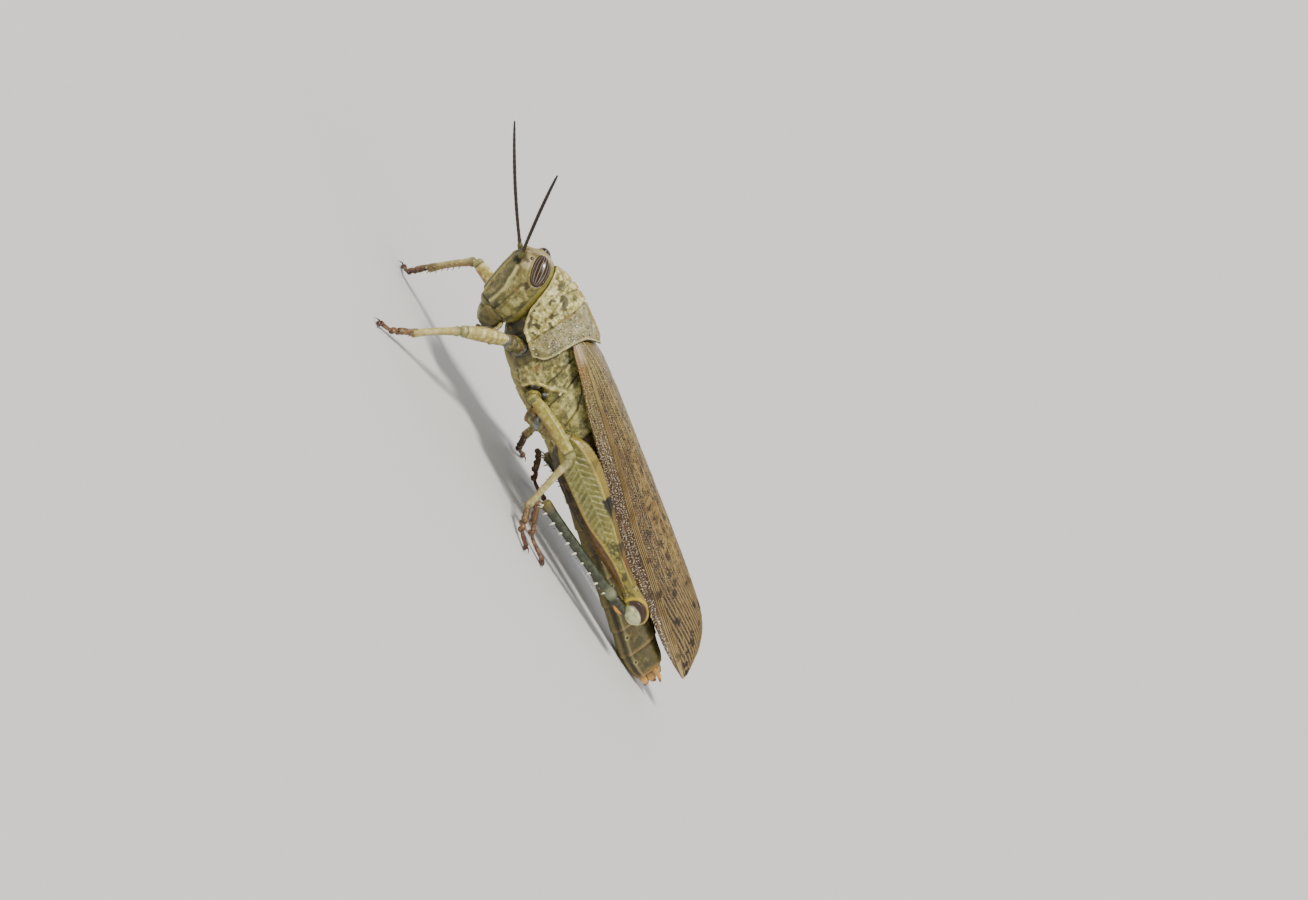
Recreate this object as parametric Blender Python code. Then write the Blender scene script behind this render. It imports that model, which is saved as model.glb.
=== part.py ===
# Still, life-size locust (female Egyptian locust, Anacridium aegyptium) at rest on a level floor.
# The head points to -X, the left side to -Y and the back to +Z. The soles and the tip of the
# abdomen lie at Z = 0. All sizes below are millimetres; build() scales the finished meshes to metres.
import bpy
import bmesh
import math
from mathutils import Matrix, Vector

# ---------------------------------------------------------------- driving dimensions (mm)
MM = 0.001
ORIGIN_X = -38.58          # middle of the whole length, counted from under the tip of the abdomen
JOINT_GAP = 0.3            # clear space left between touching pieces

BACK_HEIGHT = 22.8         # height of the pronotum's crest at its highest
PLATE = 0.6                # thickness of the pronotum plate
WING = 0.55                # thickness of a wing
WING_SLIT = 0.2            # from the midline to the inner edge of each wing
ANTENNA_RADIUS = 0.27
ROUND = 12                 # sides of a limb
TRUNK = 20                 # sides of a trunk ring

EYE_CENTER = Vector((-60.35, -2.8, 19.7))
EYE_RADII = (2.45, 1.3, 1.15)                 # along the stripes, across them, and outward
EYE_LONG = Vector((0.483, -0.537, -0.692))    # from the upper to the lower end of the left eye
EYE_OUT = Vector((-0.38, -0.83, 0.38))        # the way the left eye faces
EYE_CLEARANCE = 0.2

HEAD_MIDDLE = Vector((-60.0, 0.0, 15.5))
FACE_TILT = math.radians(20)                  # lean of the face and of the pronotum's front edge
PIT_RADIUS = 0.85                             # round pit in the face that an antenna grows from

# Joints of each left leg: body side of the coxa, hip, knee, ankle and end of the last tarsal segment.
# The right legs mirror the left ones, apart from the joints that RIGHT_JOINTS gives.
LEG_JOINTS = {
    "fore": ((-53.3, -3.8, 12.1), (-54.9, -5.3, 11.7), (-60.7, -10.0, 7.9),
             (-64.6, -12.4, 2.4), (-69.0, -16.4, 0.5)),
    "mid": ((-46.1, -5.0, 10.3), (-46.9, -6.5, 10.6), (-37.6, -10.4, 11.3),
            (-35.0, -11.8, 2.6), (-31.4, -15.4, 0.5)),
    "hind": ((-42.3, -5.5, 9.8), (-39.8, -6.6, 11.4), (-12.6, -8.2, 7.1),
             (-33.9, -9.4, 4.7), (-27.2, -11.6, 0.5)),
}
RIGHT_JOINTS = {
    "fore": ((-53.3, -3.8, 12.1), (-55.0, -5.3, 12.0), (-62.8, -9.3, 11.0),
             (-64.4, -12.9, 4.0), (-65.4, -16.5, 0.5)),
    "mid": ((-46.1, -5.0, 10.3), (-46.9, -6.5, 10.6), (-38.6, -10.9, 11.3),
            (-36.6, -12.3, 2.6), (-33.2, -15.8, 0.5)),
}

COLOURS = {
    "olive": (0.30, 0.27, 0.10),
    "buff": (0.42, 0.37, 0.22),
    "brown": (0.10, 0.05, 0.03),
    "wing": (0.36, 0.26, 0.13),
    "pale": (0.40, 0.38, 0.20),
    "slate": (0.24, 0.26, 0.20),
    "sole": (0.20, 0.09, 0.06),
}
ROUGHNESS = {"olive": 0.55, "buff": 0.6, "brown": 0.25, "wing": 0.5, "pale": 0.45, "slate": 0.45, "sole": 0.5}


# ---------------------------------------------------------------- helpers
def clear_scene():
    for old in list(bpy.data.objects):
        bpy.data.objects.remove(old, do_unlink=True)


def material(name):
    made = bpy.data.materials.get(name)
    if made:
        return made
    made = bpy.data.materials.new(name)
    made.use_nodes = True
    shader = made.node_tree.nodes["Principled BSDF"]
    shader.inputs["Base Color"].default_value = (*COLOURS[name], 1.0)
    shader.inputs["Roughness"].default_value = ROUGHNESS[name]
    shader.inputs["Metallic"].default_value = 0.0
    return made


def add_object(name, bm, finish):
    # Turns a bmesh into a named object with smooth shading and outward faces.
    bmesh.ops.recalc_face_normals(bm, faces=bm.faces)
    mesh = bpy.data.meshes.new(name)
    bm.to_mesh(mesh)
    bm.free()
    mesh.shade_smooth()
    mesh.set_sharp_from_angle(angle=math.radians(40))
    mesh.materials.append(material(finish))
    made = bpy.data.objects.new(name, mesh)
    bpy.context.scene.collection.objects.link(made)
    return made


def table_value(rows, x):
    # Smooth (cubic Hermite) reading of a table of (x, value, value, ...) rows at x.
    if x <= rows[0][0]:
        return rows[0][1:]
    if x >= rows[-1][0]:
        return rows[-1][1:]
    last = max(i for i, row in enumerate(rows) if row[0] <= x)

    def slope(i, k):
        low, high = max(i - 1, 0), min(i + 1, len(rows) - 1)
        return (rows[high][k] - rows[low][k]) / (rows[high][0] - rows[low][0])

    a, b = rows[last], rows[last + 1]
    span = b[0] - a[0]
    t = (x - a[0]) / span
    values = []
    for k in range(1, len(a)):
        start = (2 * t**3 - 3 * t**2 + 1) * a[k] + (t**3 - 2 * t**2 + t) * span * slope(last, k)
        end = (3 * t**2 - 2 * t**3) * b[k] + (t**3 - t**2) * span * slope(last + 1, k)
        values.append(start + end)
    return tuple(values)


def spread(first, last, count):
    return [first + (last - first) * i / (count - 1) for i in range(count)]


def ring(center, side, up, half_width, above, below, power, count):
    # Closed superellipse with separate heights above and below its center line.
    points = []
    for i in range(count):
        angle = 2 * math.pi * (i + 0.5) / count
        c, s = math.cos(angle), math.sin(angle)
        across = math.copysign(abs(c) ** (2 / power), c) * half_width
        height = math.copysign(abs(s) ** (2 / power), s) * (above if s > 0 else below)
        points.append(Vector(center) + Vector(side) * across + Vector(up) * height)
    return points


def loft_mesh(rings):
    # Skin over rings of equal count, each end closed by a fan to its middle.
    bm = bmesh.new()
    loops = [[bm.verts.new(point) for point in points] for points in rings]
    count = len(loops[0])
    for first, second in zip(loops, loops[1:]):
        for i in range(count):
            j = (i + 1) % count
            bm.faces.new((first[i], first[j], second[j], second[i]))
    for loop in (loops[0], loops[-1]):
        middle = bm.verts.new(sum((v.co for v in loop), Vector()) / count)
        for i in range(count):
            bm.faces.new((loop[i], loop[(i + 1) % count], middle))
    return bm


def shell_mesh(outer, inner):
    # Closed plate between two equal grids of points.
    bm = bmesh.new()
    skins = [[[bm.verts.new(point) for point in row] for row in grid] for grid in (outer, inner)]
    rows, cols = len(outer), len(outer[0])
    for skin in skins:
        for i in range(rows - 1):
            for j in range(cols - 1):
                bm.faces.new((skin[i][j], skin[i + 1][j], skin[i + 1][j + 1], skin[i][j + 1]))
    border = [(i, 0) for i in range(rows)] + [(rows - 1, j) for j in range(1, cols)]
    border += [(i, cols - 1) for i in range(rows - 2, -1, -1)] + [(0, j) for j in range(cols - 2, 0, -1)]
    for (i, j), (k, m) in zip(border, border[1:] + border[:1]):
        bm.faces.new((skins[0][i][j], skins[0][k][m], skins[1][k][m], skins[1][i][j]))
    return bm


def limb_rings(start, end, rows, count=ROUND, up_hint=(0, 0, 1), power=2.0):
    # Rings along a straight limb. A row is (part of the length, half width, above, below).
    start, end = Vector(start), Vector(end)
    along = (end - start).normalized()
    side = along.cross(Vector(up_hint)).normalized()
    up = side.cross(along)
    return [ring(start.lerp(end, row[0]), side, up, row[1], row[2], row[3], power, count) for row in rows]


def round_rows(rows, ends=0.55):
    # Adds a narrower ring at both ends so that a limb closes with a rounded cap.
    first, last = rows[0], rows[-1]
    step = 0.12 * (last[0] - first[0]) / len(rows)
    cap_first = (first[0] - step, *(value * ends for value in first[1:]))
    cap_last = (last[0] + step, *(value * ends for value in last[1:]))
    return [cap_first] + list(rows) + [cap_last]


def boolean(target, cutter, operation):
    # Applies a Boolean with a helper object, which is then removed.
    cutter.hide_render = True
    cutter.display_type = "WIRE"
    change = target.modifiers.new("boolean", "BOOLEAN")
    change.operation = operation
    change.solver = "EXACT"
    change.object = cutter
    graph = bpy.context.evaluated_depsgraph_get()
    result = bpy.data.meshes.new_from_object(target.evaluated_get(graph))
    target.modifiers.clear()
    target.data = result
    bpy.data.objects.remove(cutter, do_unlink=True)


def mirrored(point, side):
    # Left-hand point for side = 1, right-hand point for side = -1.
    return Vector((point[0], point[1] * side, point[2]))


def side_name(side):
    return "left" if side == 1 else "right"


# ---------------------------------------------------------------- head
# Sections of the head from the neck to the face: forward of the middle, top, bottom, half width.
HEAD_ROWS = [
    (-2.9, 4.6, -4.0, 3.45),
    (-2.75, 5.1, -4.6, 3.85),
    (-2.0, 5.8, -4.95, 4.2),
    (-1.0, 5.95, -5.05, 4.2),
    (0.1, 5.9, -5.05, 4.0),
    (1.1, 5.35, -4.95, 3.6),
    (1.8, 4.75, -4.7, 2.9),
    (2.3, 4.05, -4.2, 2.1),
    (2.6, 2.6, -3.0, 1.2),
]
HEAD_WAIST = 0.6               # level at which the cheeks are widest


def head_point(forward, across, up, side=1):
    # A place on the head, given along the direction it faces and along its leaning face.
    ahead = Vector((-math.cos(FACE_TILT), 0, -math.sin(FACE_TILT)))
    above = Vector((-math.sin(FACE_TILT), 0, math.cos(FACE_TILT)))
    return HEAD_MIDDLE + ahead * forward + above * up - Vector((0, across * side, 0))


def head_ring(row):
    forward, top, bottom, half_width = row
    above = head_point(0, 0, 1) - HEAD_MIDDLE
    middle = head_point(forward, 0, HEAD_WAIST)
    return ring(middle, (0, 1, 0), above, half_width, top - HEAD_WAIST, HEAD_WAIST - bottom, 2.3, TRUNK)


def eye_mesh(radii, side):
    bm = bmesh.new()
    bmesh.ops.create_uvsphere(bm, u_segments=14, v_segments=8, radius=1.0)
    out = mirrored(EYE_OUT, side).normalized()
    long_axis = mirrored(EYE_LONG, side)
    long_axis = (long_axis - out * long_axis.dot(out)).normalized()
    across = out.cross(long_axis)
    turn = Matrix((across * radii[1], out * radii[2], long_axis * radii[0])).transposed().to_4x4()
    bmesh.ops.transform(bm, matrix=Matrix.Translation(mirrored(EYE_CENTER, side)) @ turn, verts=bm.verts)
    return bm


def build_head():
    head = add_object("head", loft_mesh([head_ring(row) for row in HEAD_ROWS]), "olive")
    for side in (1, -1):
        add_object("eye_" + side_name(side), eye_mesh(EYE_RADII, side), "brown")
        socket_radii = [radius + EYE_CLEARANCE for radius in EYE_RADII]
        boolean(head, add_object("socket", eye_mesh(socket_radii, side), "olive"), "DIFFERENCE")
        pit = bmesh.new()
        place = Matrix.Translation(head_point(2.1, 1.55, 4.0, side))
        bmesh.ops.create_uvsphere(pit, u_segments=8, v_segments=5, radius=PIT_RADIUS, matrix=place)
        boolean(head, add_object("pit", pit, "olive"), "DIFFERENCE")


def build_mouthparts():
    # Clypeus and upper lip in front, jaws at the sides, lower lip behind, and two pairs of palps.
    face = head_point(1, 0, 0) - HEAD_MIDDLE
    lip_rows = [(0.0, 1.5, 0.45, 0.45), (0.25, 1.75, 0.55, 0.5), (0.7, 1.6, 0.55, 0.5),
                (1.0, 1.1, 0.35, 0.35)]
    top, tip = head_point(1.1, 0, -5.45), head_point(0.65, 0, -6.6)
    lip = limb_rings(top, tip, lip_rows, up_hint=face, power=2.6)
    add_object("labrum", loft_mesh(lip), "olive")
    lower_rows = [(0.0, 1.7, 0.5, 0.5), (0.6, 1.5, 0.5, 0.5), (1.0, 0.9, 0.35, 0.35)]
    top, tip = head_point(-1.75, 0, -5.55), head_point(-1.2, 0, -7.1)
    lower = limb_rings(top, tip, lower_rows, up_hint=face, power=2.4)
    add_object("labium", loft_mesh(lower), "olive")
    for side in (1, -1):
        jaw_rows = [(0.0, 0.5, 1.2, 1.1), (0.5, 0.5, 1.1, 1.0), (1.0, 0.35, 0.5, 0.5)]
        top, tip = head_point(-0.1, 2.6, -4.9, side), head_point(-0.2, 2.05, -6.7, side)
        jaw = limb_rings(top, tip, jaw_rows, up_hint=face, power=2.3)
        add_object("mandible_" + side_name(side), loft_mesh(jaw), "olive")
        for name, foot, end in (("maxillary_palp", (-1.9, 3.0, -5.1), (-0.5, 3.5, -7.1)),
                                ("labial_palp", (-1.1, 1.1, -7.6), (0.0, 1.4, -8.3))):
            palp_rows = round_rows([(0.0, 0.3, 0.3, 0.3), (0.5, 0.27, 0.27, 0.27), (1.0, 0.33, 0.33, 0.33)])
            palp = limb_rings(head_point(*foot, side), head_point(*end, side), palp_rows, count=8)
            add_object(name + "_" + side_name(side), loft_mesh(palp), "pale")


def build_antenna(side, base, middle, tip):
    # A thick first segment, a short second one, and a whip that bends gently through three points.
    base, middle, tip = Vector(base), Vector(middle), Vector(tip)
    bend = 2 * middle - (base + tip) / 2
    steps = 14
    rings = []
    for i in range(steps + 1):
        t = (i / steps) ** 1.3
        center = base * (1 - t) ** 2 + bend * 2 * t * (1 - t) + tip * t**2
        along = ((bend - base) * (1 - t) + (tip - bend) * t).normalized()
        across = along.cross(Vector((0, 0, 1))).normalized()
        radius = ANTENNA_RADIUS * (1.75 if i < 2 else 1.15 if i == 2 else 1.0)
        rings.append(ring(center, across, across.cross(along), radius, radius, radius, 2.0, 6))
    add_object("antenna_" + side_name(side), loft_mesh(rings), "brown")


# ---------------------------------------------------------------- pronotum and trunk
# part of the way round from crest (0) to lower margin (1): half width, height, front edge, rear edge
PRONOTUM_ROWS = [
    (0.0, 0.0, BACK_HEIGHT, -59.35, -46.6),
    (0.12, 1.3, 22.35, -59.1, -47.6),
    (0.26, 2.9, 21.4, -58.75, -48.8),
    (0.40, 4.2, 19.8, -58.2, -49.4),
    (0.56, 4.85, 17.9, -57.7, -49.6),
    (0.74, 5.0, 16.2, -57.2, -49.6),
    (0.88, 4.9, 14.9, -56.4, -49.9),
    (1.0, 4.75, 13.6, -54.9, -51.1),
]
# x, drop of the crest below its highest point, breadth relative to PRONOTUM_ROWS
CREST_ROWS = [
    (-59.7, 1.05, 0.9),
    (-58.4, 0.55, 0.93),
    (-57.1, 0.2, 0.96),
    (-55.3, 0.05, 0.99),
    (-53.0, 0.2, 1.0),
    (-50.5, 0.65, 1.03),
    (-46.6, 1.3, 1.05),
]
LOWER_EDGE_SLOPE = 0.28


def pronotum_point(length_part, round_part, inset):
    # A point on the saddle: arched along the crest, and a little narrower at the collar in front.
    part = abs(round_part)
    half_width, height, front, rear = table_value(PRONOTUM_ROWS, part)
    x = front + (rear - front) * length_part
    drop, breadth = table_value(CREST_ROWS, x)
    height -= drop * (1 - part) + LOWER_EDGE_SLOPE * (x + 53.0) * part**3
    point = Vector((x, math.copysign(half_width * breadth, round_part), height))
    if inset:
        center = Vector((x, 0.0, 15.4))
        point -= (point - center).normalized() * inset
    return point


def build_pronotum():
    around = [math.copysign(abs(v) ** 0.9, v) for v in spread(-1.0, 1.0, 17)]
    along = spread(0.0, 1.0, 10)
    outer = [[pronotum_point(u, v, 0.0) for v in around] for u in along]
    inner = [[pronotum_point(u, v, PLATE) for v in around] for u in along]
    add_object("pronotum", shell_mesh(outer, inner), "olive")


def trunk_rings(rows, tilt_front=0.0, power=2.3, count=TRUNK):
    # Upright rings along X. A row is (x, half width, top, bottom, height of the widest level).
    rings = []
    for index, (x, half_width, top, bottom, waist) in enumerate(rows):
        tilt = tilt_front * (1 - index / (len(rows) - 1))
        up = (-tilt, 0, 1)
        above, below = top - waist, waist - bottom
        rings.append(ring((x, 0, waist), (0, 1, 0), up, half_width, above, below, power, count))
    return rings


def build_thorax():
    prothorax = [
        (-56.2, 2.9, 20.2, 11.0, 15.4),
        (-55.2, 3.5, 20.6, 10.2, 15.0),
        (-53.3, 3.7, 20.8, 9.5, 14.4),
        (-51.6, 3.8, 20.7, 9.1, 14.2),
        (-50.75, 3.8, 20.5, 9.0, 14.2),
    ]
    add_object("prothorax", loft_mesh(trunk_rings(prothorax, tilt_front=0.43, power=2.5)), "olive")
    pterothorax = [
        (-50.3, 4.1, 19.2, 9.0, 13.6),
        (-49.4, 4.6, 19.1, 8.6, 13.1),
        (-47.0, 4.8, 18.7, 8.1, 12.5),
        (-43.0, 4.8, 17.9, 7.8, 12.0),
        (-39.5, 4.6, 17.0, 7.6, 11.6),
        (-37.5, 4.2, 16.4, 7.4, 11.4),
    ]
    add_object("thorax", loft_mesh(trunk_rings(pterothorax, power=2.35)), "olive")


# x, half width, top, bottom
ABDOMEN_ROWS = [
    (-37.1, 4.1, 16.1, 7.2),
    (-33.0, 3.95, 15.2, 6.3),
    (-28.0, 3.8, 13.7, 5.1),
    (-22.0, 3.6, 11.7, 3.7),
    (-16.0, 3.35, 9.5, 2.3),
    (-10.0, 3.0, 7.4, 0.95),
    (-5.5, 2.6, 5.8, -0.1),
    (-3.2, 2.2, 5.1, -0.1),
    (-1.8, 1.7, 4.3, 0.4),
]
ABDOMEN_SEGMENTS = 9


def build_abdomen():
    # Rings that overlap like tiles: each rises slightly towards its rear edge, then steps in.
    first, last = ABDOMEN_ROWS[0][0], ABDOMEN_ROWS[-1][0]
    length = (last - first) / ABDOMEN_SEGMENTS
    rows = []
    for segment in range(ABDOMEN_SEGMENTS):
        for part, swell in ((0.05, 0.965), (0.94, 1.02)):
            x = first + (segment + part) * length
            half_width, top, bottom = table_value(ABDOMEN_ROWS, x)
            waist = bottom + (top - bottom) * 0.45
            top = waist + (top - waist) * swell
            bottom = waist - (waist - bottom) * swell
            rows.append((x, half_width * swell, top, bottom, waist))
    rings = trunk_rings(rows, power=2.1, count=18)
    for point in (point for points in rings for point in points):
        point.z = max(point.z, 0.0)
    add_object("abdomen", loft_mesh(rings), "olive")


def build_abdomen_end():
    valve_rows = [(0.0, 1.25, 1.2, 0.9), (0.45, 1.1, 1.0, 0.8), (0.8, 0.8, 0.6, 0.6), (1.0, 0.45, 0.3, 0.35)]
    valves = limb_rings((-1.5, 0, 2.0), (0.6, 0, 1.3), valve_rows, count=ROUND, power=2.2)
    add_object("ovipositor", loft_mesh(valves), "sole")
    for side in (1, -1):
        rows = [(0.0, 0.3, 0.3, 0.3), (0.5, 0.3, 0.3, 0.3), (1.0, 0.25, 0.25, 0.25)]
        foot, tip = mirrored((-1.15, -1.6, 3.5), side), mirrored((0.0, -2.0, 3.2), side)
        add_object("cercus_" + side_name(side), loft_mesh(limb_rings(foot, tip, rows, count=8)), "olive")


# ---------------------------------------------------------------- wings
# x, crest height, half width at the lower margin, height of the lower margin
TEGMEN_ROWS = [
    (-49.6, 20.0, 3.6, 18.6),
    (-48.2, 20.3, 4.3, 18.1),
    (-45.4, 20.6, 5.0, 17.3),
    (-41.0, 20.1, 5.25, 15.7),
    (-35.3, 19.15, 5.2, 13.9),
    (-29.8, 18.1, 5.0, 12.1),
    (-21.8, 16.65, 4.55, 9.5),
    (-12.5, 14.8, 3.6, 7.85),
    (-7.0, 13.5, 2.7, 6.85),
    (-3.6, 12.1, 1.95, 6.25),
    (-0.8, 9.8, 1.4, 6.0),
    (1.3, 6.9, 1.1, 5.95),
]


def tegmen_point(x, part, inset, side):
    # Roof from the midline (part 0) over the shoulder to the lower margin (part 1).
    crest, half_width, low = table_value(TEGMEN_ROWS, x)

    def section(p):
        angle = p * math.pi / 2
        across = WING_SLIT + (half_width - WING_SLIT) * math.sin(angle) ** 0.95
        height = low + (crest - low) * math.cos(angle) ** 0.8
        return Vector((x, -across, height))

    point = section(part)
    step = 0.02
    tangent = (section(min(part + step, 1.0)) - section(max(part - step, 0.0))).normalized()
    inward = Vector((1, 0, 0)).cross(tangent)
    return mirrored(point + inward * inset, side)


def wing_grid(first, last, low_part, high_part, inset, side, stations, across):
    # Grid of points that stays on its own side of the midline.
    grid = []
    for x in spread(first, last, stations):
        row = [tegmen_point(x, part, inset, side) for part in spread(low_part, high_part, across)]
        for point in row:
            point.y = -side * max(-side * point.y, WING_SLIT)
        grid.append(row)
    return grid


def build_wings():
    under = WING + JOINT_GAP
    for side in (1, -1):
        outer = wing_grid(-49.6, 1.3, 0.0, 1.0, 0.0, side, 19, 7)
        inner = wing_grid(-49.6, 1.3, 0.0, 1.0, WING, side, 19, 7)
        add_object("tegmen_" + side_name(side), shell_mesh(outer, inner), "wing")
        outer = wing_grid(-46.0, -9.0, 0.12, 0.62, under, side, 10, 5)
        inner = wing_grid(-46.0, -9.0, 0.12, 0.62, under + WING, side, 10, 5)
        add_object("hindwing_" + side_name(side), shell_mesh(outer, inner), "wing")


# ---------------------------------------------------------------- legs
# part of the length, half thickness, above, below
FEMUR_ROWS = {
    "fore": [(0.06, 0.6, 0.7, 0.6), (0.25, 0.9, 0.95, 0.85), (0.6, 0.95, 1.0, 0.95),
             (0.88, 0.85, 0.9, 0.85), (0.96, 0.75, 0.8, 0.75)],
    "mid": [(0.1, 0.6, 0.7, 0.6), (0.25, 0.85, 0.95, 0.85), (0.6, 0.9, 1.0, 0.9),
            (0.9, 0.8, 0.9, 0.85), (0.96, 0.7, 0.75, 0.7)],
    "hind": [(0.015, 0.75, 1.1, 1.2), (0.055, 1.15, 2.1, 2.2), (0.14, 1.4, 2.85, 2.8),
             (0.26, 1.45, 3.0, 2.95), (0.42, 1.35, 2.55, 2.75), (0.58, 1.1, 1.95, 2.3),
             (0.72, 0.9, 1.5, 1.5), (0.83, 0.85, 1.35, 0.95), (0.9, 1.05, 1.6, 1.0),
             (0.96, 1.15, 1.7, 1.15), (1.01, 1.1, 1.45, 1.2), (1.045, 0.8, 0.85, 0.8)],
}
TIBIA_ROWS = {
    "fore": [(0.13, 0.6, 0.65, 0.6), (0.3, 0.55, 0.55, 0.55), (0.75, 0.5, 0.5, 0.5),
             (0.94, 0.62, 0.62, 0.6)],
    "mid": [(0.11, 0.6, 0.65, 0.6), (0.3, 0.55, 0.55, 0.55), (0.75, 0.5, 0.5, 0.5),
            (0.93, 0.62, 0.62, 0.6)],
    "hind": [(0.07, 0.65, 0.6, 0.75), (0.14, 0.8, 0.75, 0.85), (0.3, 0.75, 0.85, 0.75),
             (0.6, 0.65, 0.75, 0.65), (0.88, 0.65, 0.75, 0.65), (0.97, 0.75, 0.85, 0.75)],
}
SPINES_PER_ROW = 8
SPINE_LENGTH = 1.15
HIND_KNEE_DROP = (0.5, 0.0, 1.45)      # from the middle of the hind knee back to the head of its tibia
HIND_HEEL = (0.9, 0.0, 0.9)            # from the end of the hind tibia to the start of its folded-back tarsus


def tapered_spine(bm, foot, tip, radius):
    # Four-sided spine with a blunt end.
    along = (tip - foot).normalized()
    across = along.orthogonal().normalized()
    other = along.cross(across)
    loops = []
    for center, size in ((foot, radius), (tip, radius * 0.5)):
        loops.append([bm.verts.new(center + (across * math.cos(a) + other * math.sin(a)) * size)
                      for a in (0, math.pi / 2, math.pi, 3 * math.pi / 2)])
    for i in range(4):
        j = (i + 1) % 4
        bm.faces.new((loops[0][i], loops[0][j], loops[1][j], loops[1][i]))
    bm.faces.new(loops[0][::-1])
    bm.faces.new(loops[1])


def add_tibia_spines(tibia, knee, ankle):
    # Two rows of spines along the rear of the hind tibia, which faces down while the leg is folded.
    along = (ankle - knee).normalized()
    side = along.cross(Vector((0, 0, 1))).normalized()
    down = along.cross(side)
    if down.z > 0:
        down = -down
    bm = bmesh.new()
    for lean in (1, -1):
        for i in range(SPINES_PER_ROW):
            foot = knee.lerp(ankle, 0.3 + 0.62 * i / (SPINES_PER_ROW - 1)) + side * 0.35 * lean + down * 0.3
            way = (down * 0.9 + side * 0.55 * lean + along * 0.35).normalized()
            tapered_spine(bm, foot, foot + way * SPINE_LENGTH, 0.28)
    spines = add_object("spines", bm, "slate")
    boolean(tibia, spines, "UNION")


# part of the way from ankle to claws: part of the drop still to come, half width, half height, pad below
TARSUS_ROWS = [
    (0.05, 1.0, 0.42, 0.45, 0.0),
    (0.14, 0.9, 0.55, 0.55, 0.15),
    (0.34, 0.45, 0.6, 0.5, 0.2),
    (0.42, 0.35, 0.5, 0.42, 0.1),
    (0.52, 0.14, 0.6, 0.45, 0.5),
    (0.75, 0.04, 0.5, 0.4, 0.4),
    (0.92, 0.02, 0.55, 0.42, 0.4),
    (1.0, 0.0, 0.4, 0.35, 0.2),
]


def build_tarsus(name, ankle, toe):
    # Segments on pads: the path drops from the ankle to the floor, and the soles are cut flat.
    ankle, toe = Vector(ankle), Vector(toe)
    flat = Vector((toe.x - ankle.x, toe.y - ankle.y, 0))
    along = flat.normalized()
    side = along.cross(Vector((0, 0, 1)))
    rings = []
    for part, drop, half_width, half_height, pad in TARSUS_ROWS:
        center = ankle + flat * part
        center.z = toe.z + (ankle.z - toe.z) * drop
        points = ring(center, side, (0, 0, 1), half_width, half_height, half_height + pad, 2.4, 8)
        for point in points:
            point.z = max(point.z, 0.0)
        rings.append(points)
    tarsus = add_object(name, loft_mesh(rings), "sole")
    claws = bmesh.new()
    for lean in (1, -1):
        foot = ankle + flat * 0.97 + side * 0.22 * lean
        foot.z = 0.5
        tapered_spine(claws, foot, foot + along * 0.95 + side * 0.6 * lean - Vector((0, 0, 0.2)), 0.3)
    boolean(tarsus, add_object("claws", claws, "sole"), "UNION")


def build_leg(pair, side):
    joints = LEG_JOINTS[pair] if side == 1 else RIGHT_JOINTS.get(pair, LEG_JOINTS[pair])
    root, hip, knee, ankle, toe = (mirrored(joint, side) for joint in joints)
    name = pair + "_{}_" + side_name(side)
    radius = 1.25 if pair == "hind" else 1.0
    coxa_rows = [(0.2, radius, radius, radius), (0.6, radius * 0.85, radius * 0.85, radius * 0.85),
                 (0.78, radius * 0.6, radius * 0.6, radius * 0.6)]
    add_object(name.format("coxa"), loft_mesh(limb_rings(root, hip, coxa_rows)), "buff")
    femur_rows = FEMUR_ROWS[pair] if pair == "hind" else round_rows(FEMUR_ROWS[pair])
    count = 14 if pair == "hind" else ROUND
    femur = limb_rings(hip, knee, femur_rows, count=count, power=2.1)
    add_object(name.format("femur"), loft_mesh(femur), "pale")
    if pair == "hind":
        knee = knee - Vector(HIND_KNEE_DROP)
    tibia = add_object(name.format("tibia"), loft_mesh(limb_rings(knee, ankle, TIBIA_ROWS[pair])),
                       "slate" if pair == "hind" else "pale")
    if pair == "hind":
        add_tibia_spines(tibia, knee, ankle)
        ankle = ankle - Vector(HIND_HEEL)
    build_tarsus(name.format("tarsus"), ankle, toe)


# ---------------------------------------------------------------- assembly
def build():
    clear_scene()
    build_head()
    build_mouthparts()
    build_antenna(1, head_point(2.1, 1.55, 4.0, 1), (-68.2, -4.2, 24.6), (-72.2, -7.3, 29.8))
    build_antenna(-1, head_point(2.1, 1.55, 4.0, -1), (-70.9, 3.2, 22.2), (-78.3, 6.0, 26.5))
    build_pronotum()
    build_thorax()
    build_abdomen()
    build_abdomen_end()
    build_wings()
    for pair in LEG_JOINTS:
        for side in (1, -1):
            build_leg(pair, side)
    to_metres = Matrix.Scale(MM, 4) @ Matrix.Translation((-ORIGIN_X, 0, 0))
    for made in bpy.data.objects:
        made.data.transform(to_metres)


build()
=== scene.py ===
import math
import bpy
import numpy as np
from mathutils import Matrix, Vector


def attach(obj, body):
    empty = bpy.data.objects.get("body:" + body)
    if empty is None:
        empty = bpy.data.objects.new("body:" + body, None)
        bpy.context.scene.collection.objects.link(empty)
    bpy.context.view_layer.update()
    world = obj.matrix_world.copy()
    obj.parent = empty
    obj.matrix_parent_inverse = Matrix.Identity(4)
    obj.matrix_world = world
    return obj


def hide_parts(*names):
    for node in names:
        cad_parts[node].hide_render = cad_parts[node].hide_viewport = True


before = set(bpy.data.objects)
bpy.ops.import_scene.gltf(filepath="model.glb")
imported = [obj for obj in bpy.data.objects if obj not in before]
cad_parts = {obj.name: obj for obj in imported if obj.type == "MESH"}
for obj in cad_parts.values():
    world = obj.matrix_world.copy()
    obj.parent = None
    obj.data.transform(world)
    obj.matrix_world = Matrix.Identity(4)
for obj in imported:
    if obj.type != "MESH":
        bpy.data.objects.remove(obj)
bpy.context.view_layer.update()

# Lengths below are in millimetres. X is counted from under the tip of the abdomen, and the head is at -X.
tailX = 38.58                    # from there to the middle of the whole length
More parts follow.
